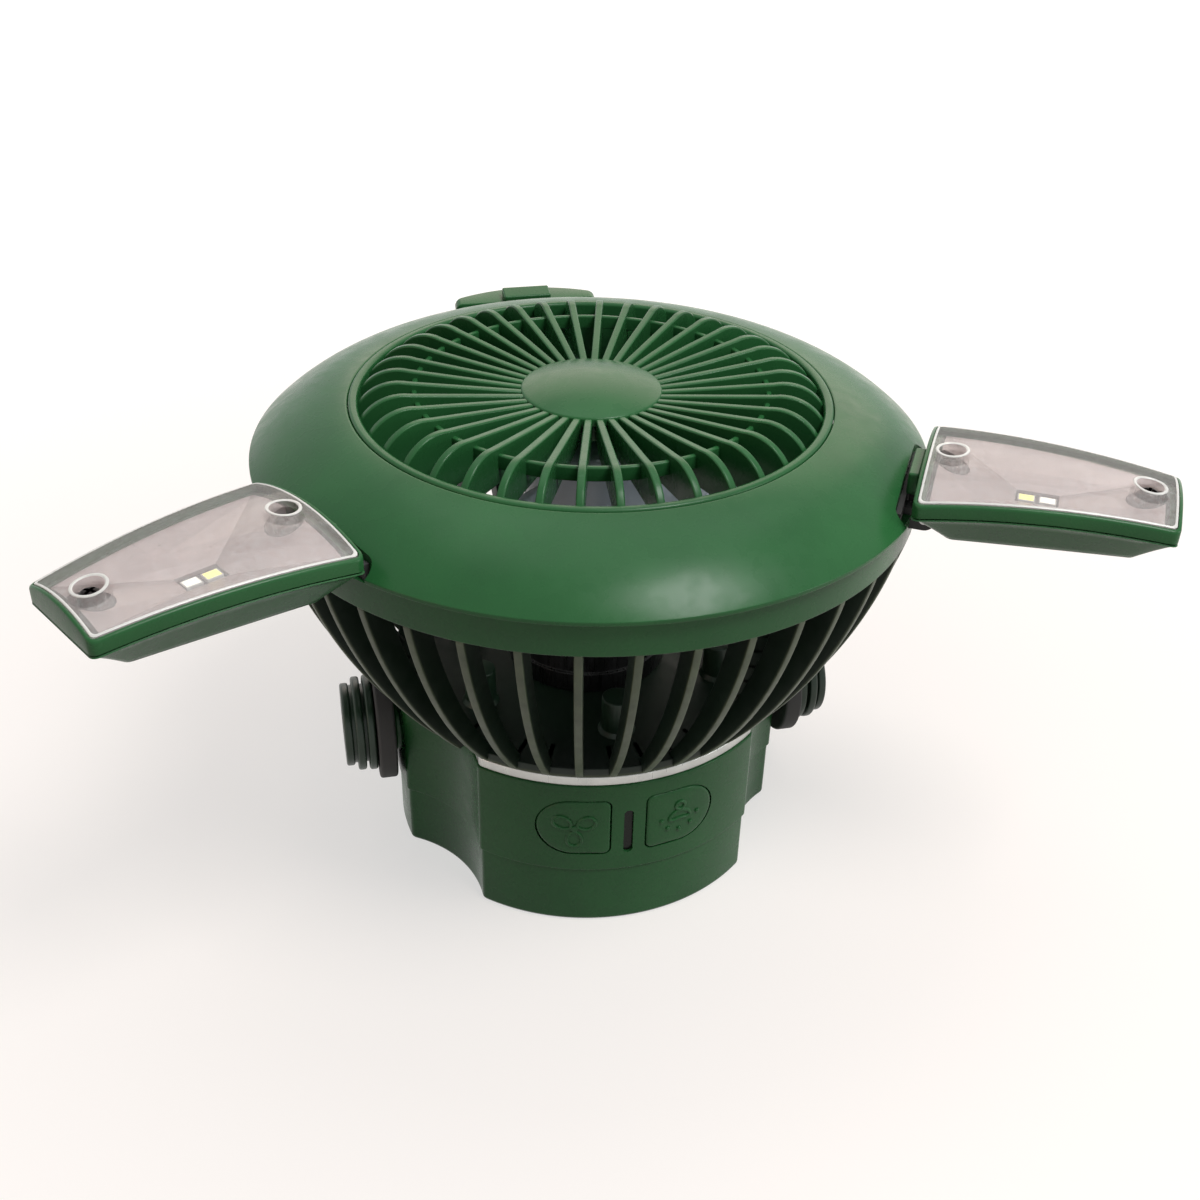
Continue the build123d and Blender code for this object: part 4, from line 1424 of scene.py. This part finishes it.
@dataclass
class Button:
    """One push button, flush with the base's curved front, with a raised sign."""

    side: Side
    icon: Icon
    face_radius: float = 47.7
    depth: float = 3.6
    inner_x: float = 4.2
    outer_x: float = 20.4
    bottom_z: float = 21.6
    top_z: float = 36.8
    corner: float = 1.6
    edge: float = 0.55
    relief: float = 0.42

    def outline(self, grow: float = 0.0) -> list[Point]:
        """Front view: rounded inner corners and a half-round outer end.

        Args:
            grow: Distance outwards from the button's own edge.

        Returns:
            The closed outline in x and z.
        """
        low, high = self.bottom_z - grow, self.top_z + grow
        inner, outer = self.inner_x - grow, self.outer_x + grow
        near, end = self.corner + grow, (high - low) / 2 - 0.001
        corners = [(inner, low, near), (outer, low, end), (outer, high, end), (inner, high, near)]
        return [(x * self.side.value, z) for x, z in rounded(corners, 12)]

    @property
    def middle(self) -> Point:
        """Middle of the button in x and z."""
        return self.side.value * (self.inner_x + self.outer_x) / 2, (self.bottom_z + self.top_z) / 2

    def on_face(self, x: float, z: float, lift: float) -> tuple[float, float, float]:
        """A front-view point carried onto the curved face, lifted off it."""
        return x, -math.sqrt((self.face_radius + lift) ** 2 - x * x), z

    def cap(self) -> Mesh:
        """The button itself.

        Returns:
            Its mesh.
        """
        rows = [(0.0, -self.depth), (0.0, -self.edge)]
        rows += [(inset, -drop) for drop, inset in quarter(self.edge)[1:]]
        rings = [[self.on_face(x, z, lift) for x, z in self.outline(-inset)] for inset, lift in rows]
        cx, cz = self.middle
        last = self.outline(-self.edge)
        for share in (0.8, 0.6, 0.4, 0.2, 0.0):
            rings.append([self.on_face(cx + (x - cx) * share, cz + (z - cz) * share, 0.0) for x, z in last])
        return from_rings(rings, capped=False)

    def fan_sign(self) -> Mesh:
        """Three fan blades drawn in raised line round a small middle, flat.

        Returns:
            Its mesh.
        """
        lead = arc((0.9, 0.2), (2.6, 1.3), (4.6, 0.9), 8)
        trail = arc((4.6, 0.9), (4.9, -1.2), (3.4, -1.9), 8)
        back = arc((3.4, -1.9), (2.0, -1.6), (0.9, 0.2), 8)
        blade = ridge([*lead[:-1], *trail[:-1], *back[:-1]], self.relief)
        return joined([wheel(blade, GREEN, 3, 35), rod(0.8, -0.5, self.relief, 0.2, 24)])

    def lamp_sign(self) -> Mesh:
        """A hanging lamp in raised line: a small ring, a dome and five dots of light, flat.

        Returns:
            Its mesh.
        """
        eye = ridge(circle(1.1, 24, (0.0, 3.0)), self.relief)
        shade = arc((-2.7, -0.6), (0, 1.6), (2.7, -0.6), 16)
        rim = arc((1.6, -0.9), (0, -0.7), (-1.6, -0.9), 8)
        dot = moved(rod(0.55, -0.5, self.relief, 0.3, 20), shift(4.6))
        spots = [moved(dot, shift(0, 0.6) @ about_z(turn)) for turn in (194, 232, 270, 308, 346)]
        return joined([eye, ridge([*shade, *rim], self.relief), *spots])

    def sign(self) -> Mesh:
        """The button's sign, bent onto its face.

        Returns:
            Its mesh.
        """
        mesh = self.fan_sign() if self.icon is Icon.FAN else self.lamp_sign()
        cx, cz = self.middle
        for vertex in mesh.vertices:
            u, v, lift = vertex.co
            vertex.co = self.on_face(cx + u, cz + v, lift)
        work = bmesh.new()
        work.from_mesh(mesh)
        bmesh.ops.recalc_face_normals(work, faces=work.faces)
        work.to_mesh(mesh)
        work.free()
        return mesh

    def build(self) -> None:
        """Makes and places the button and its sign."""
        word = "fan" if self.icon is Icon.FAN else "light"
        body = f"{word}_button_body"
        place(f"{word}_button_cap", self.cap(), GREEN, body, [f"{word}_button"], 35)
        place(f"{word}_button_sign", self.sign(), GREEN, body)


@dataclass
class Base:
    """Scalloped base of two shells with a trim ring, the buttons' front and the panel below."""

    plan: BasePlan
    wall: float = 2.3
    parting_z: float = 16.3
    top_z: float = 41.2
    lower_inset: float = 0.5
    trim_top_z: float = 43.6
    floor_z: tuple[float, float] = (2.8, 4.8)
    panel_radius: float = 36.6
    panel_recess: float = 0.8
    pivot_x: float = 48.1
    port_z: float = 30.6
    screw_place: float = 42.2
    window_half: float = 1.0
    window_z: tuple[float, float] = (21.4, 33.6)
    boss_radius: float = 7.5
    bolt_radius: float = 3.0
    wire_hole: float = 24.0
    well: tuple[float, float] = (2.4, 7.6)

    def hollow(self, inset: float, low: float, high: float) -> Mesh:
        """Inside of a shell between two heights."""
        return stepped([(self.plan.outline(inset), z) for z in (low, high)])

    def upper_shell(self, buttons: Sequence[Button]) -> Mesh:
        """Shell with the openings for the buttons, the light window and the charging inlet.

        Args:
            buttons: The buttons that it holds.

        Returns:
            The shell.
        """
        shell = soft_prism(self.plan, 0, self.parting_z, self.top_z, 0.45, 0.5)
        bosses = [along_x(rod(self.boss_radius, 40, self.pivot_x, 0.4), side) for side in Side]
        shell = carved(shell, bosses, Carve.ADD)
        holes = [self.hollow(self.wall, self.parting_z - OVERCUT, self.top_z - 2),
                 rod(self.wire_hole, self.top_z - 8, self.top_z + OVERCUT),
                 frontal(self.slot(0.1), -54, -43), self.inlet()]
        holes += [frontal(button.outline(0.3), -54, -38) for button in buttons]
        holes += [along_x(rod(self.bolt_radius, 38, self.pivot_x + OVERCUT, 0, 48), side) for side in Side]
        return softened(carved(shell, holes), 0.3, 2, 50)

    def slot(self, grow: float) -> list[Point]:
        """Front view of the light window.

        Args:
            grow: Distance outwards from the window's own edge.

        Returns:
            The closed outline in x and z.
        """
        half = self.window_half + grow
        low, high = self.window_z
        return pill(half, low - grow, high + grow, half - 0.001)

    def inlet(self) -> Mesh:
        """Space of the charging inlet at the back."""
        half, rise, soft = 4.6, 1.8, 1.3
        return frontal(pill(half, self.port_z - rise, self.port_z + rise, soft), 33, 54)

    def lower_shell(self) -> Mesh:
        """Foot shell, recessed below for the panel, with three screw wells.

        Returns:
            Its mesh.
        """
        shell = soft_prism(self.plan, self.lower_inset, 0, self.parting_z, 1.2, 0.45)
        hollow = self.hollow(self.lower_inset + self.wall, self.floor_z[1], self.parting_z + OVERCUT)
        recess = rod(self.panel_radius + 0.1, -OVERCUT, self.floor_z[0])
        radius, depth = self.well
        well = rod(radius, -OVERCUT, depth, 0, 40)
        wells = [moved(well, about_z(azimuth) @ shift(self.screw_place)) for azimuth in (30, 150, 270)]
        return softened(carved(shell, [hollow, recess, *wells]), 0.25, 2, 50)

    def window(self) -> Mesh:
        """Smoked light window, a little below the surface and domed at its foot.

        Returns:
            Its mesh.
        """
        reach = self.plan.radius - 0.7
        outline = self.slot(0.0)
        face = [(x, -math.sqrt(reach ** 2 - x * x), z) for x, z in outline]
        back = [(x, y + 2.6, z) for x, y, z in face]
        return from_rings([back, face])

    def build(self, buttons: Sequence[Button]) -> None:
        """Makes and places the base's own pieces.

        Args:
            buttons: The buttons that the front holds.
        """
        upper, lower = self.upper_shell(buttons), self.lower_shell()
        place("upper_shell", upper, GREEN, "housing", ["base_upper_shell"], 30)
        place("lower_shell", lower, GREEN, "housing", ["base_lower_shell"], 30)
        ring = soft_prism(self.plan, 0.4, self.top_z, self.trim_top_z, 0.3, 0.3)
        ring = carved(ring, [rod(38, self.top_z - OVERCUT, self.trim_top_z + OVERCUT)])
        place("trim", ring, SILVER, "housing", ["trim_ring"], 30)
        panel = rod(self.panel_radius, self.panel_recess, self.floor_z[0], 0.4, 160)
        place("solar_cells", panel, CELLS, "housing", ["solar_panel"])
        place("light_window", self.window(), SMOKE, "housing", ["indicator_window"])
        inner = {"battery_tray": BLACK, "battery_cells": SLEEVE, "main_board": BOARD, "switch_board": BOARD,
                 "button_switches": BLACK, "charge_port": STEEL, "cage_screws": STEEL, "motor_screws": STEEL,
                 "pivot_screws": STEEL, "hinge_pins": STEEL, "base_screws": STEEL}
        for node, finish in inner.items():
            dress_node(node, finish)


@dataclass
class Handle:
    """Bail that swings on the base's sides, and the two ridged knobs that clamp it."""

    inner_x: float = 48.4
    thickness: float = 4.2
    reach: float = 84.0
    corner: float = 16.0
    height: float = 12.0
    bore: float = 3.05
    core_radius: float = 9.5
    pocket_radius: float = 5.3
    pocket_depth: float = 2.6
    disc_bore: float = 7.0
    taper: float = -0.01625
    eye_radius: float = 14.0
    knob_radius: float = 11.6
    disc_count: int = 3
    disc_width: float = 2.0
    disc_pitch: float = 2.7

    def bail(self) -> Mesh:
        """The strap with a round eye at each end.

        Returns:
            Its mesh.
        """
        outer, inner = self.inner_x + self.thickness, self.inner_x
        far, near, tight = self.reach, self.reach - self.thickness, self.corner - self.thickness
        plan = rounded([(-outer, 0, 0), (-outer, far, self.corner), (outer, far, self.corner), (outer, 0, 0),
                        (inner, 0, 0), (inner, near, tight), (-inner, near, tight), (-inner, 0, 0)], 36)
        strap = prism(list(reversed(plan)), PIVOT_Z - self.height / 2, PIVOT_Z + self.height / 2)
        strap = softened(strap, 0.7, 3, 50)
        eyes = [along_x(rod(self.eye_radius, inner - 0.04, outer + 0.04, 0.7, 128), side) for side in Side]
        bores = [along_x(rod(self.bore, inner - OVERCUT, outer + OVERCUT, 0, 48), side) for side in Side]
        return carved(carved(strap, eyes, Carve.ADD), bores)

    def knob(self, side: Side) -> Mesh:
        """One knob: discs with rounded rims on a core, with a pocket for the screw head.

        Args:
            side: The side that it is on.

        Returns:
            The knob in its place.
        """
        start = self.inner_x + self.thickness + 0.3
        length = (self.disc_count - 1) * self.disc_pitch + self.disc_width
        r, w = self.knob_radius, self.disc_width
        disc = lathe(rounded([(self.disc_bore, 0, 0), (r, 0, 0.6), (r, w, 0.6), (self.disc_bore, w, 0)]), 96)
        stack = STACK.applied(moved(disc, shift(0, 0, start)), DARK_GREEN.material(),
                              count=self.disc_count, pitch=self.disc_pitch, taper=self.taper)
        core, pocket, bore = self.core_radius, self.pocket_radius, self.bore
        end = start + length
        face, seat = end - 0.05, end - self.pocket_depth
        middle = lathe(rounded([(bore, start, 0), (core, start, 0), (core, face, 0.2), (pocket, face, 0.4),
                                (pocket, seat, 0), (bore, seat, 0)]), 96)
        return along_x(joined([stack, middle]), side)

    def build(self) -> None:
        """Makes and places the bail and the knobs."""
        place("bail_strap", self.bail(), BLACK, "bail_body", ["bail"], 30)
        for side in Side:
            word = side.name.lower()
            knob = self.knob(side)
            place(f"{word}_clamp_knob", knob, DARK_GREEN, f"{word}_knob_body", [f"{word}_knob"])


@dataclass
class LampLeaf:
    """One lamp leaf, drawn level along +X and then folded and swung to its place."""

    which: Leaf
    inner: float = 73.4
    outer: float = 124.9
    inner_half: float = 19.4
    outer_half: float = 12.2
    corner_z: float = 109.5
    bow: float = 1.7
    crests: tuple[float, float] = (4.0, 2.5)
    band: float = 3.0
    bottom_z: float = 100.0
    side_bevel: float = 5.0
    end_bevel: float = 7.2
    wall: float = 2.2
    lens_inset: float = 0.9
    lens_thickness: float = 1.8
    hinge: Point = (75.6, 100.4)
    knuckle_radius: float = 2.4
    knuckle_half: float = 3.9
    tab_half: float = 6.3
    screw_places: Point = (78.8, 118.4)
    lamp_place: float = 97.3
    boss_z: float = 106.2
    boss_web: float = 3.0
    chip_z: float = 105.0
    facet_top: float = 107.4
    web_x: tuple[float, float] = (74.0, 77.2)
    web_top_z: float = 104.6
    tab_x: float = 71.0
    tab_z: tuple[float, float] = (105.2, 110.2)
    root_x: tuple[float, float] = (72.0, 74.5)
    root_z: tuple[float, float] = (105.3, 106.3)
    window_half: Point = (4.4, 2.6)
    chip_half: Point = (1.75, 1.4)
    face_half: Point = (1.5, 1.15)
    chip_spread: float = 2.15
    boss_radius: float = 3.8
    bore_radius: float = 2.7
    hole_radius: float = 1.25
    well_radius: float = 4.1

    def share(self, x: float) -> float:
        """How far along the leaf a place is, from 0 at the head to 1 at the tip."""
        return (x - self.inner) / (self.outer - self.inner)

    def edge_z(self, x: float) -> float:
        """Height of the leaf's bowed side edge."""
        share = self.share(x)
        return self.corner_z + self.bow * 4 * share * (1 - share)

    def half(self, x: float) -> float:
        """Half the leaf's width."""
        return mix((self.inner_half, self.outer_half), self.share(x))

    def seam_z(self, x: float) -> float:
        """Height of the seam between the leaf's upper band and its tray."""
        return self.edge_z(x) - self.band

    def top_z(self, x: float, y: float) -> float:
        """Height of the arched top.

        Args:
            x: Place along the leaf.
            y: Place across it.

        Returns:
            The height.
        """
        crest = mix(self.crests, self.share(x))
        ball = (self.half(x) ** 2 + crest ** 2) / (2 * crest)
        return self.edge_z(x) + math.sqrt(max(ball ** 2 - y * y, 0)) - ball + crest

    def on_top(self, outline: Iterable[Point], lift: float = 0.0) -> Ring:
        """A plan outline carried onto the arched top, lifted off it."""
        return [(x, y, self.top_z(x, y) + lift) for x, y in outline]

    def outline(self, inset: float, end_inset: float | None = None, corner: float = 1.6) -> list[Point]:
        """Plan of the leaf, drawn in from its edge.

        Args:
            inset: Distance in from the sides.
            end_inset: Distance in from the ends, the same as the sides if left out.
            corner: Radius of the plan's corners.

        Returns:
            A closed outline with the same number of points for every inset.
        """
        ends = inset if end_inset is None else end_inset
        first, last = self.inner + ends, self.outer - ends
        near, far = (self.half(x) - inset for x in (first, last))
        return four_sided([(first, -near), (last, -far), (last, far), (first, near)], corner)

    def frame_bead(self) -> Mesh:
        """Upper band of the leaf that holds the lens.

        Returns:
            Its mesh.
        """
        rows = [(0.3, None, 0.1), (0.0, None, 0.35), (0.0, -0.5, 0.0), (0.14, -0.15, 0.0), (0.45, 0.0, 0.0),
                (0.72, -0.05, 0.0), (0.8, -0.25, 0.0), (0.8, -2.0, 0.0), (2.2, -2.0, 0.0), (2.2, None, 0.1)]
        rings = []
        for inset, drop, lift in rows:
            plan = self.outline(inset, corner=max(1.8 - inset, 0.4))
            on_seam = [(x, y, self.seam_z(x) + lift) for x, y in plan]
            rings.append(on_seam if drop is None else self.on_top(plan, drop))
        return from_rings(rings, looped=True)

    def lens(self) -> Mesh:
        """Clear arched cover with two sunk screw bosses.

        Returns:
            Its mesh.
        """
        rim = self.outline(self.lens_inset, corner=1.0)
        inner_rim = self.outline(self.lens_inset + 0.2, corner=0.9)
        middle = (self.inner + self.outer) / 2
        shares = [k / 14 for k in range(15)]
        low, top = ([[(middle + (x - middle) * s, y * s) for x, y in edge] for s in order]
                    for edge, order in ((rim, shares), (inner_rim, shares[::-1])))
        rings = [self.on_top(plan, -self.lens_thickness) for plan in low]
        rings.append(self.on_top(rim, -0.25))
        rings += [self.on_top(plan) for plan in top]
        cover = from_rings(rings, capped=False)
        places = [shift(x) for x in self.screw_places]
        tall = [self.top_z(x, 3.9) - 0.3 for x in self.screw_places]
        bosses = [moved(rod(self.boss_radius, self.boss_z, z, 0, 48), at) for at, z in zip(places, tall)]
        bores = [moved(rod(self.bore_radius, self.boss_z + self.boss_web, 125, 0, 48), at) for at in places]
        holes = [moved(rod(self.hole_radius, 95, 110.5, 0, 32), at) for at in places]
        return carved(carved(cover, bosses, Carve.ADD), [*bores, *holes])

    def lens_edge(self) -> Mesh:
        """Pale beads along the lens's rim and round its screw bores, a painted highlight on the clear edges.

        Returns:
            Its mesh.
        """
        # The beads paint the highlight that the clear edges catch.
        rows = [(0.92, 0.02), (1.02, 0.12), (1.25, 0.13), (1.42, 0.02), (1.25, -0.1), (1.02, -0.1)]
        lips = [(3.5, 0.02), (3.4, 0.16), (3.0, 0.18), (2.8, 0.02), (3.0, -0.1), (3.4, -0.1)]
        beads = [[self.on_top(self.outline(inset, corner=1.0), lift) for inset, lift in rows]]
        for x in self.screw_places:
            beads.append([self.on_top(circle(radius, 48, (x, 0.0)), lift) for radius, lift in lips])
        return joined([from_rings(rings, looped=True) for rings in beads])

    def tray(self) -> Mesh:
        """Bevelled lower half of the leaf, open above.

        Returns:
            Its mesh.
        """
        low = self.bottom_z
        rings = [level(self.outline(self.side_bevel + 0.6, self.end_bevel + 0.8, 2.0), low)]
        for fall in (0.94, 0.8, 0.6, 0.4, 0.2, 0.05):
            plan = self.outline(self.side_bevel * fall, self.end_bevel * fall, 1.8)
            rings.append([(x, y, low + (self.seam_z(x) - low) * (1 - fall)) for x, y in plan])
        for inset, drop in ((0.0, 0.25), (0.2, 0.02), (self.wall, 0.0)):
            rings.append([(x, y, self.seam_z(x) - drop) for x, y in self.outline(inset, corner=1.6)])
        rings.append(level(self.outline(self.wall + 3.4, self.wall + 5.0, 0.8), low + 2.0))
        return from_rings(rings)

    def knuckle(self) -> Mesh:
        """Hinge knuckle with its web, and the tab at the leaf's head end.

        Returns:
            Its mesh.
        """
        half, wide = self.knuckle_half, self.tab_half
        x, z = self.hinge
        across = shift(x, 0, z) @ Matrix.Rotation(math.radians(-90), 4, "X")
        bar = moved(rod(self.knuckle_radius, -half, half, 0.3, 48), across)
        bore = moved(rod(1.05, -half - OVERCUT, half + OVERCUT, 0, 32), across)
        web = softened(box((self.web_x[0], -half, z), (self.web_x[1], half, self.web_top_z)), 0.3)
        tab = box((self.tab_x, -wide, self.tab_z[0]), (self.inner - 0.1, wide, self.tab_z[1]))
        root = box((self.root_x[0], -wide, self.root_z[0]), (self.root_x[1], wide, self.root_z[1]))
        return joined([carved(bar, [bore]), web, softened(tab, 0.5, 3), softened(root, 0.2)])

    def reflector(self) -> Mesh:
        """Bright insert with four facets that fall from under the lens to the lamp's window.

        Returns:
            Its mesh.
        """
        inset = self.wall + 0.9
        low, top = self.chip_z + 0.1, self.facet_top
        half_x, half_y = self.window_half
        near, far = self.lamp_place - half_x, self.lamp_place + half_x
        window = four_sided([(near, -half_y), (far, -half_y), (far, half_y), (near, half_y)], 0.15)
        wide = self.outline(inset, corner=0.4)
        lid = -(self.lens_thickness + 0.15)
        rings = [level(self.outline(inset + 1.1, inset + 1.6, 0.4), low), level(wide, top - 0.6),
                 self.on_top(wide, lid), self.on_top(self.outline(inset + 0.4, corner=0.3), lid),
                 level(window, low + 0.8), level(window, low)]
        wells = [moved(rod(self.well_radius, 95, 125, 0, 48), shift(x)) for x in self.screw_places]
        return carved(from_rings(rings, looped=True), wells)

    def chip(self, side: int) -> tuple[Mesh, Mesh]:
        """White frame and phosphor face of one light chip.

        Args:
            side: -1 for the chip nearer the head, 1 for the other.

        Returns:
            The frame and the face.
        """
        middle = self.lamp_place + side * self.chip_spread
        blocks = []
        rows = ((self.chip_half, 0.0, 0.74, 0.12), (self.face_half, 0.5, 0.8, 0.1))
        for (half_x, half_y), low, high, soft in rows:
            near = (middle - half_x, -half_y, self.chip_z + low)
            far = (middle + half_x, half_y, self.chip_z + high)
            blocks.append(softened(box(near, far), soft, 2))
        return tuple(blocks)

    def screws(self) -> Mesh:
        """The two cover screws.

        Returns:
            Its mesh.
        """
        points = bpy.data.meshes.new("screw_places")
        points.from_pydata([(x, 0, self.boss_z + self.boss_web) for x in self.screw_places], [], [])
        shape = linked("cover_screw", cross_screw(2.3, 1.2, 2.6, 5.4))
        result = FIELD.applied(points, DARK_STEEL.material(), shape=shape, seed=int(self.which.azimuth))
        bpy.data.objects.remove(shape)
        return result

    def at_rest(self, mesh: Mesh) -> Mesh:
        """A piece folded down and swung to the leaf's place on the head.

        Args:
            mesh: The piece, drawn level along +X.

        Returns:
            The piece in its place.
        """
        x, z = self.hinge
        fold = Matrix.Rotation(math.radians(self.which.fold), 4, "Y")
        pivot = shift(x, 0, z)
        return moved(mesh, about_z(self.which.azimuth) @ pivot @ fold @ pivot.inverted())

    def build(self) -> None:
        """Makes and places every piece of the leaf."""
        word = self.which.word
        body = f"{word}_leaf"
        frames, faces = zip(self.chip(-1), self.chip(1))
        rows = (("frame", self.frame_bead(), GREEN, "green_shell", ["leaf_frame"]),
                ("tray", self.tray(), GREEN, "green_shell", ["leaf_tray"]),
                ("knuckle", self.knuckle(), GREEN, "green_shell", []),
                ("cover", self.lens(), CLEAR, "clear_cover", ["leaf_lens"]),
                ("cover_edge", self.lens_edge(), EDGE, "clear_cover", []),
                ("facets", self.reflector(), MIRROR, "bright_reflector", ["leaf_reflector"]),
                ("chip_frames", joined(frames), EDGE, "light_chip", ["led_chips"]),
                ("warm_face", faces[0], WARM_CHIP, "light_chip", []),
                ("white_face", faces[1], WHITE_CHIP, "light_chip", []),
                ("cover_screws", self.screws(), None, "steel", ["leaf_screws"]))
        for kind, mesh, finish, slot, nodes in rows:
            stood_for = [f"{word}_{node}" for node in nodes]
            place(f"{word}_{kind}", self.at_rest(mesh), finish, body, stood_for)
        dress_node(f"{word}_led_board", LAMP_BOARD)
        dress_node(f"{word}_hinge_bracket", BLACK)


def four_sided(corners: Sequence[Point], soft: float, edge_steps: int = 20) -> list[Point]:
    """Four-sided outline with rounded corners and evenly divided sides.

    Args:
        corners: The four corners in order.
        soft: Radius of each corner.
        edge_steps: Steps along each straight side.

    Returns:
        The closed outline.
    """
    steps = 5
    points = rounded([(x, y, soft) for x, y in corners], steps)
    outline: list[Point] = []
    for k in range(4):
        bend = points[k * (steps + 1):(k + 1) * (steps + 1)]
        start, end = Vector(bend[-1]), Vector(points[((k + 1) * (steps + 1)) % len(points)])
        outline += bend
        outline += [tuple(start.lerp(end, j / edge_steps)) for j in range(1, edge_steps)]
    return outline


def cross_screw(head: float, shank: float, rise: float, length: float) -> Mesh:
    """Pan-head screw with a cross recess, its head's seat at the origin.

    Args:
        head: Radius of the head.
        shank: Radius of the shank.
        rise: Height of the head.
        length: Length of the shank.

    Returns:
        The screw, upright.
    """
    dome = arc((head, rise * 0.55), (head * 0.75, rise * 0.88), (0, rise), 8)
    body = lathe([(0, -length), (shank, -length), (shank, 0), (head, 0), *dome], 40)
    arm, thin, deep = head * 0.62, head * 0.15, rise * 0.45
    cuts = [box((-x, -y, deep), (x, y, rise + 1)) for x, y in ((arm, thin), (thin, arm))]
    return carved(body, cuts)


# Studio


def seen_share(tree: NodeTree) -> NodeSocket:
    """One for rays that see the ground straight on, in a gloss or through glass, zero for the rest.

    Args:
        tree: The tree to add to.

    Returns:
        The share.
    """
    path = tree.nodes.new("ShaderNodeLightPath")
    share = path.outputs["Is Camera Ray"]
    for kind in ("Is Glossy Ray", "Is Transmission Ray"):
        share = math_node(tree, "MAXIMUM", share, path.outputs[kind])
    return share


@dataclass
class Studio:
    """Pale floor, soft light and the camera at the photograph's angle."""

    eye: tuple[float, float, float] = (-64.964, -288.507, 252.653)
    looking: tuple[float, float, float] = (0.19246, 0.81499, -0.54658)
    roll: float = -0.02613
    lens: float = 44.024
    sensor: float = 36.0
    floor_half: float = 6.0
    # Glow of the floor from near the fan to far off; the dimmer glow near the fan is painted shade.
    glow_radii: tuple[float, float] = (0.1, 0.6)
    glow: tuple[float, float] = (0.6, 1.0)

    def camera(self) -> None:
        """Puts the camera where the photograph was taken from."""
        ahead = Vector(self.looking).normalized()
        right = ahead.cross(Vector((0, 0, 1))).normalized()
        up = right.cross(ahead)
        turn = Matrix.Rotation(self.roll, 3, ahead)
        right, up = turn @ right, turn @ up
        data = bpy.data.cameras.new("camera")
        data.sensor_width = self.sensor
        data.lens = self.lens
        data.clip_start = 0.01
        camera = linked("camera", data)
        pose = Matrix((right, up, -ahead)).transposed().to_4x4()
        camera.matrix_world = Matrix.Translation(Vector(self.eye) * METRES) @ pose
        bpy.context.scene.camera = camera

    def lamp(self, name: str, place_mm: Sequence[float], aim_mm: Sequence[float], size: Point, watts: float,
             colour: str = "FFFFFF") -> None:
        """One soft rectangular lamp.

        Args:
            name: Name of the lamp.
            place_mm: Where it is.
            aim_mm: What it points at.
            size: Its width and height in metres.
            watts: Its power.
            colour: Its colour code.
        """
        data = bpy.data.lights.new(name, "AREA")
        data.shape = "RECTANGLE"
        data.size, data.size_y = size
        data.energy = watts
        data.color = linear(colour)[:3]
        lamp = linked(name, data)
        lamp.location = Vector(place_mm) * METRES
        aim = (Vector(aim_mm) - Vector(place_mm)).normalized()
        lamp.rotation_euler = aim.to_track_quat("-Z", "Y").to_euler()

    def floor(self) -> None:
        """Pale floor that keeps the fan's shadow."""
        half = self.floor_half
        mesh = bpy.data.meshes.new("floor")
        corners = [(-half, -half, 0), (half, -half, 0), (half, half, 0), (-half, half, 0)]
        mesh.from_pydata(corners, [], [(0, 1, 2, 3)])
        recipe = Recipe("pale_floor")
        tree = recipe.tree
        recipe.link(recipe.clouded(2.0, "A39A93", "A89F98"), "Base Color")
        recipe.set(roughness=0.8, specular_ior_level=0.1, emission_color=(1.0, 1.0, 1.0, 1.0))
        away = tree.nodes.new("ShaderNodeVectorMath")
        away.operation = "LENGTH"
        tree.links.new(recipe.place, away.inputs[0])
        # The glow is weaker near the fan, which paints the floor darker round it as shade and dims the floor
        # seen in the fan's gloss; far off it evens out the lamps' fall-off.
        glow = ranged(tree, away.outputs["Value"], self.glow_radii, self.glow)
        recipe.link(math_node(tree, "MULTIPLY", glow.outputs[0], seen_share(tree)), "Emission Strength")
        mesh.materials.append(recipe.material)
        linked("floor", mesh)

    def world(self) -> None:
        """Even soft light from all round, with a white ground behind everything."""
        world = bpy.data.worlds.new("studio")
        world.use_nodes = True
        bpy.context.scene.world = world
        tree = world.node_tree
        ground = next(n for n in tree.nodes if n.type == "BACKGROUND")
        ground.inputs["Color"].default_value = (1.0, 1.0, 1.0, 1.0)
        strength = math_node(tree, "MULTIPLY_ADD", seen_share(tree), 0.8, 0.2)
        tree.links.new(strength, ground.inputs["Strength"])

    def build(self) -> None:
        """Sets up the camera, the floor and the light."""
        self.camera()
        self.floor()
        self.world()
        self.lamp("key", (250, -330, 820), (0, -30, 100), (0.32, 0.32), 5.0)
        self.lamp("side", (720, -420, 330), (0, 0, 90), (0.22, 0.22), 0.9)
        self.lamp("top", (60, 180, 880), (0, 0, 80), (0.8, 0.6), 1.6)
        self.lamp("back", (260, 720, 500), (0, 0, 90), (0.9, 0.5), 1.8, "FFEBD8")
        self.lamp("fill", (-700, -260, 260), (0, 0, 60), (0.4, 0.4), 0.7, "C98F68")
        bpy.context.scene.view_settings.view_transform = "Standard"


def main() -> None:
    """Builds the fan piece by piece, then the studio round it."""
    logging.basicConfig(level=logging.INFO, format="%(name)s: %(message)s")
    plan = BasePlan()
    buttons = [Button(Side.LEFT, Icon.FAN), Button(Side.RIGHT, Icon.LAMP)]
    Head().build()
    Cage(plan).build()
    Fan().build()
    Base(plan).build(buttons)
    for button in buttons:
        button.build()
    Handle().build()
    for leaf in Leaf:
        LampLeaf(leaf).build()
    Studio().build()


if __name__ == "__main__":
    main()
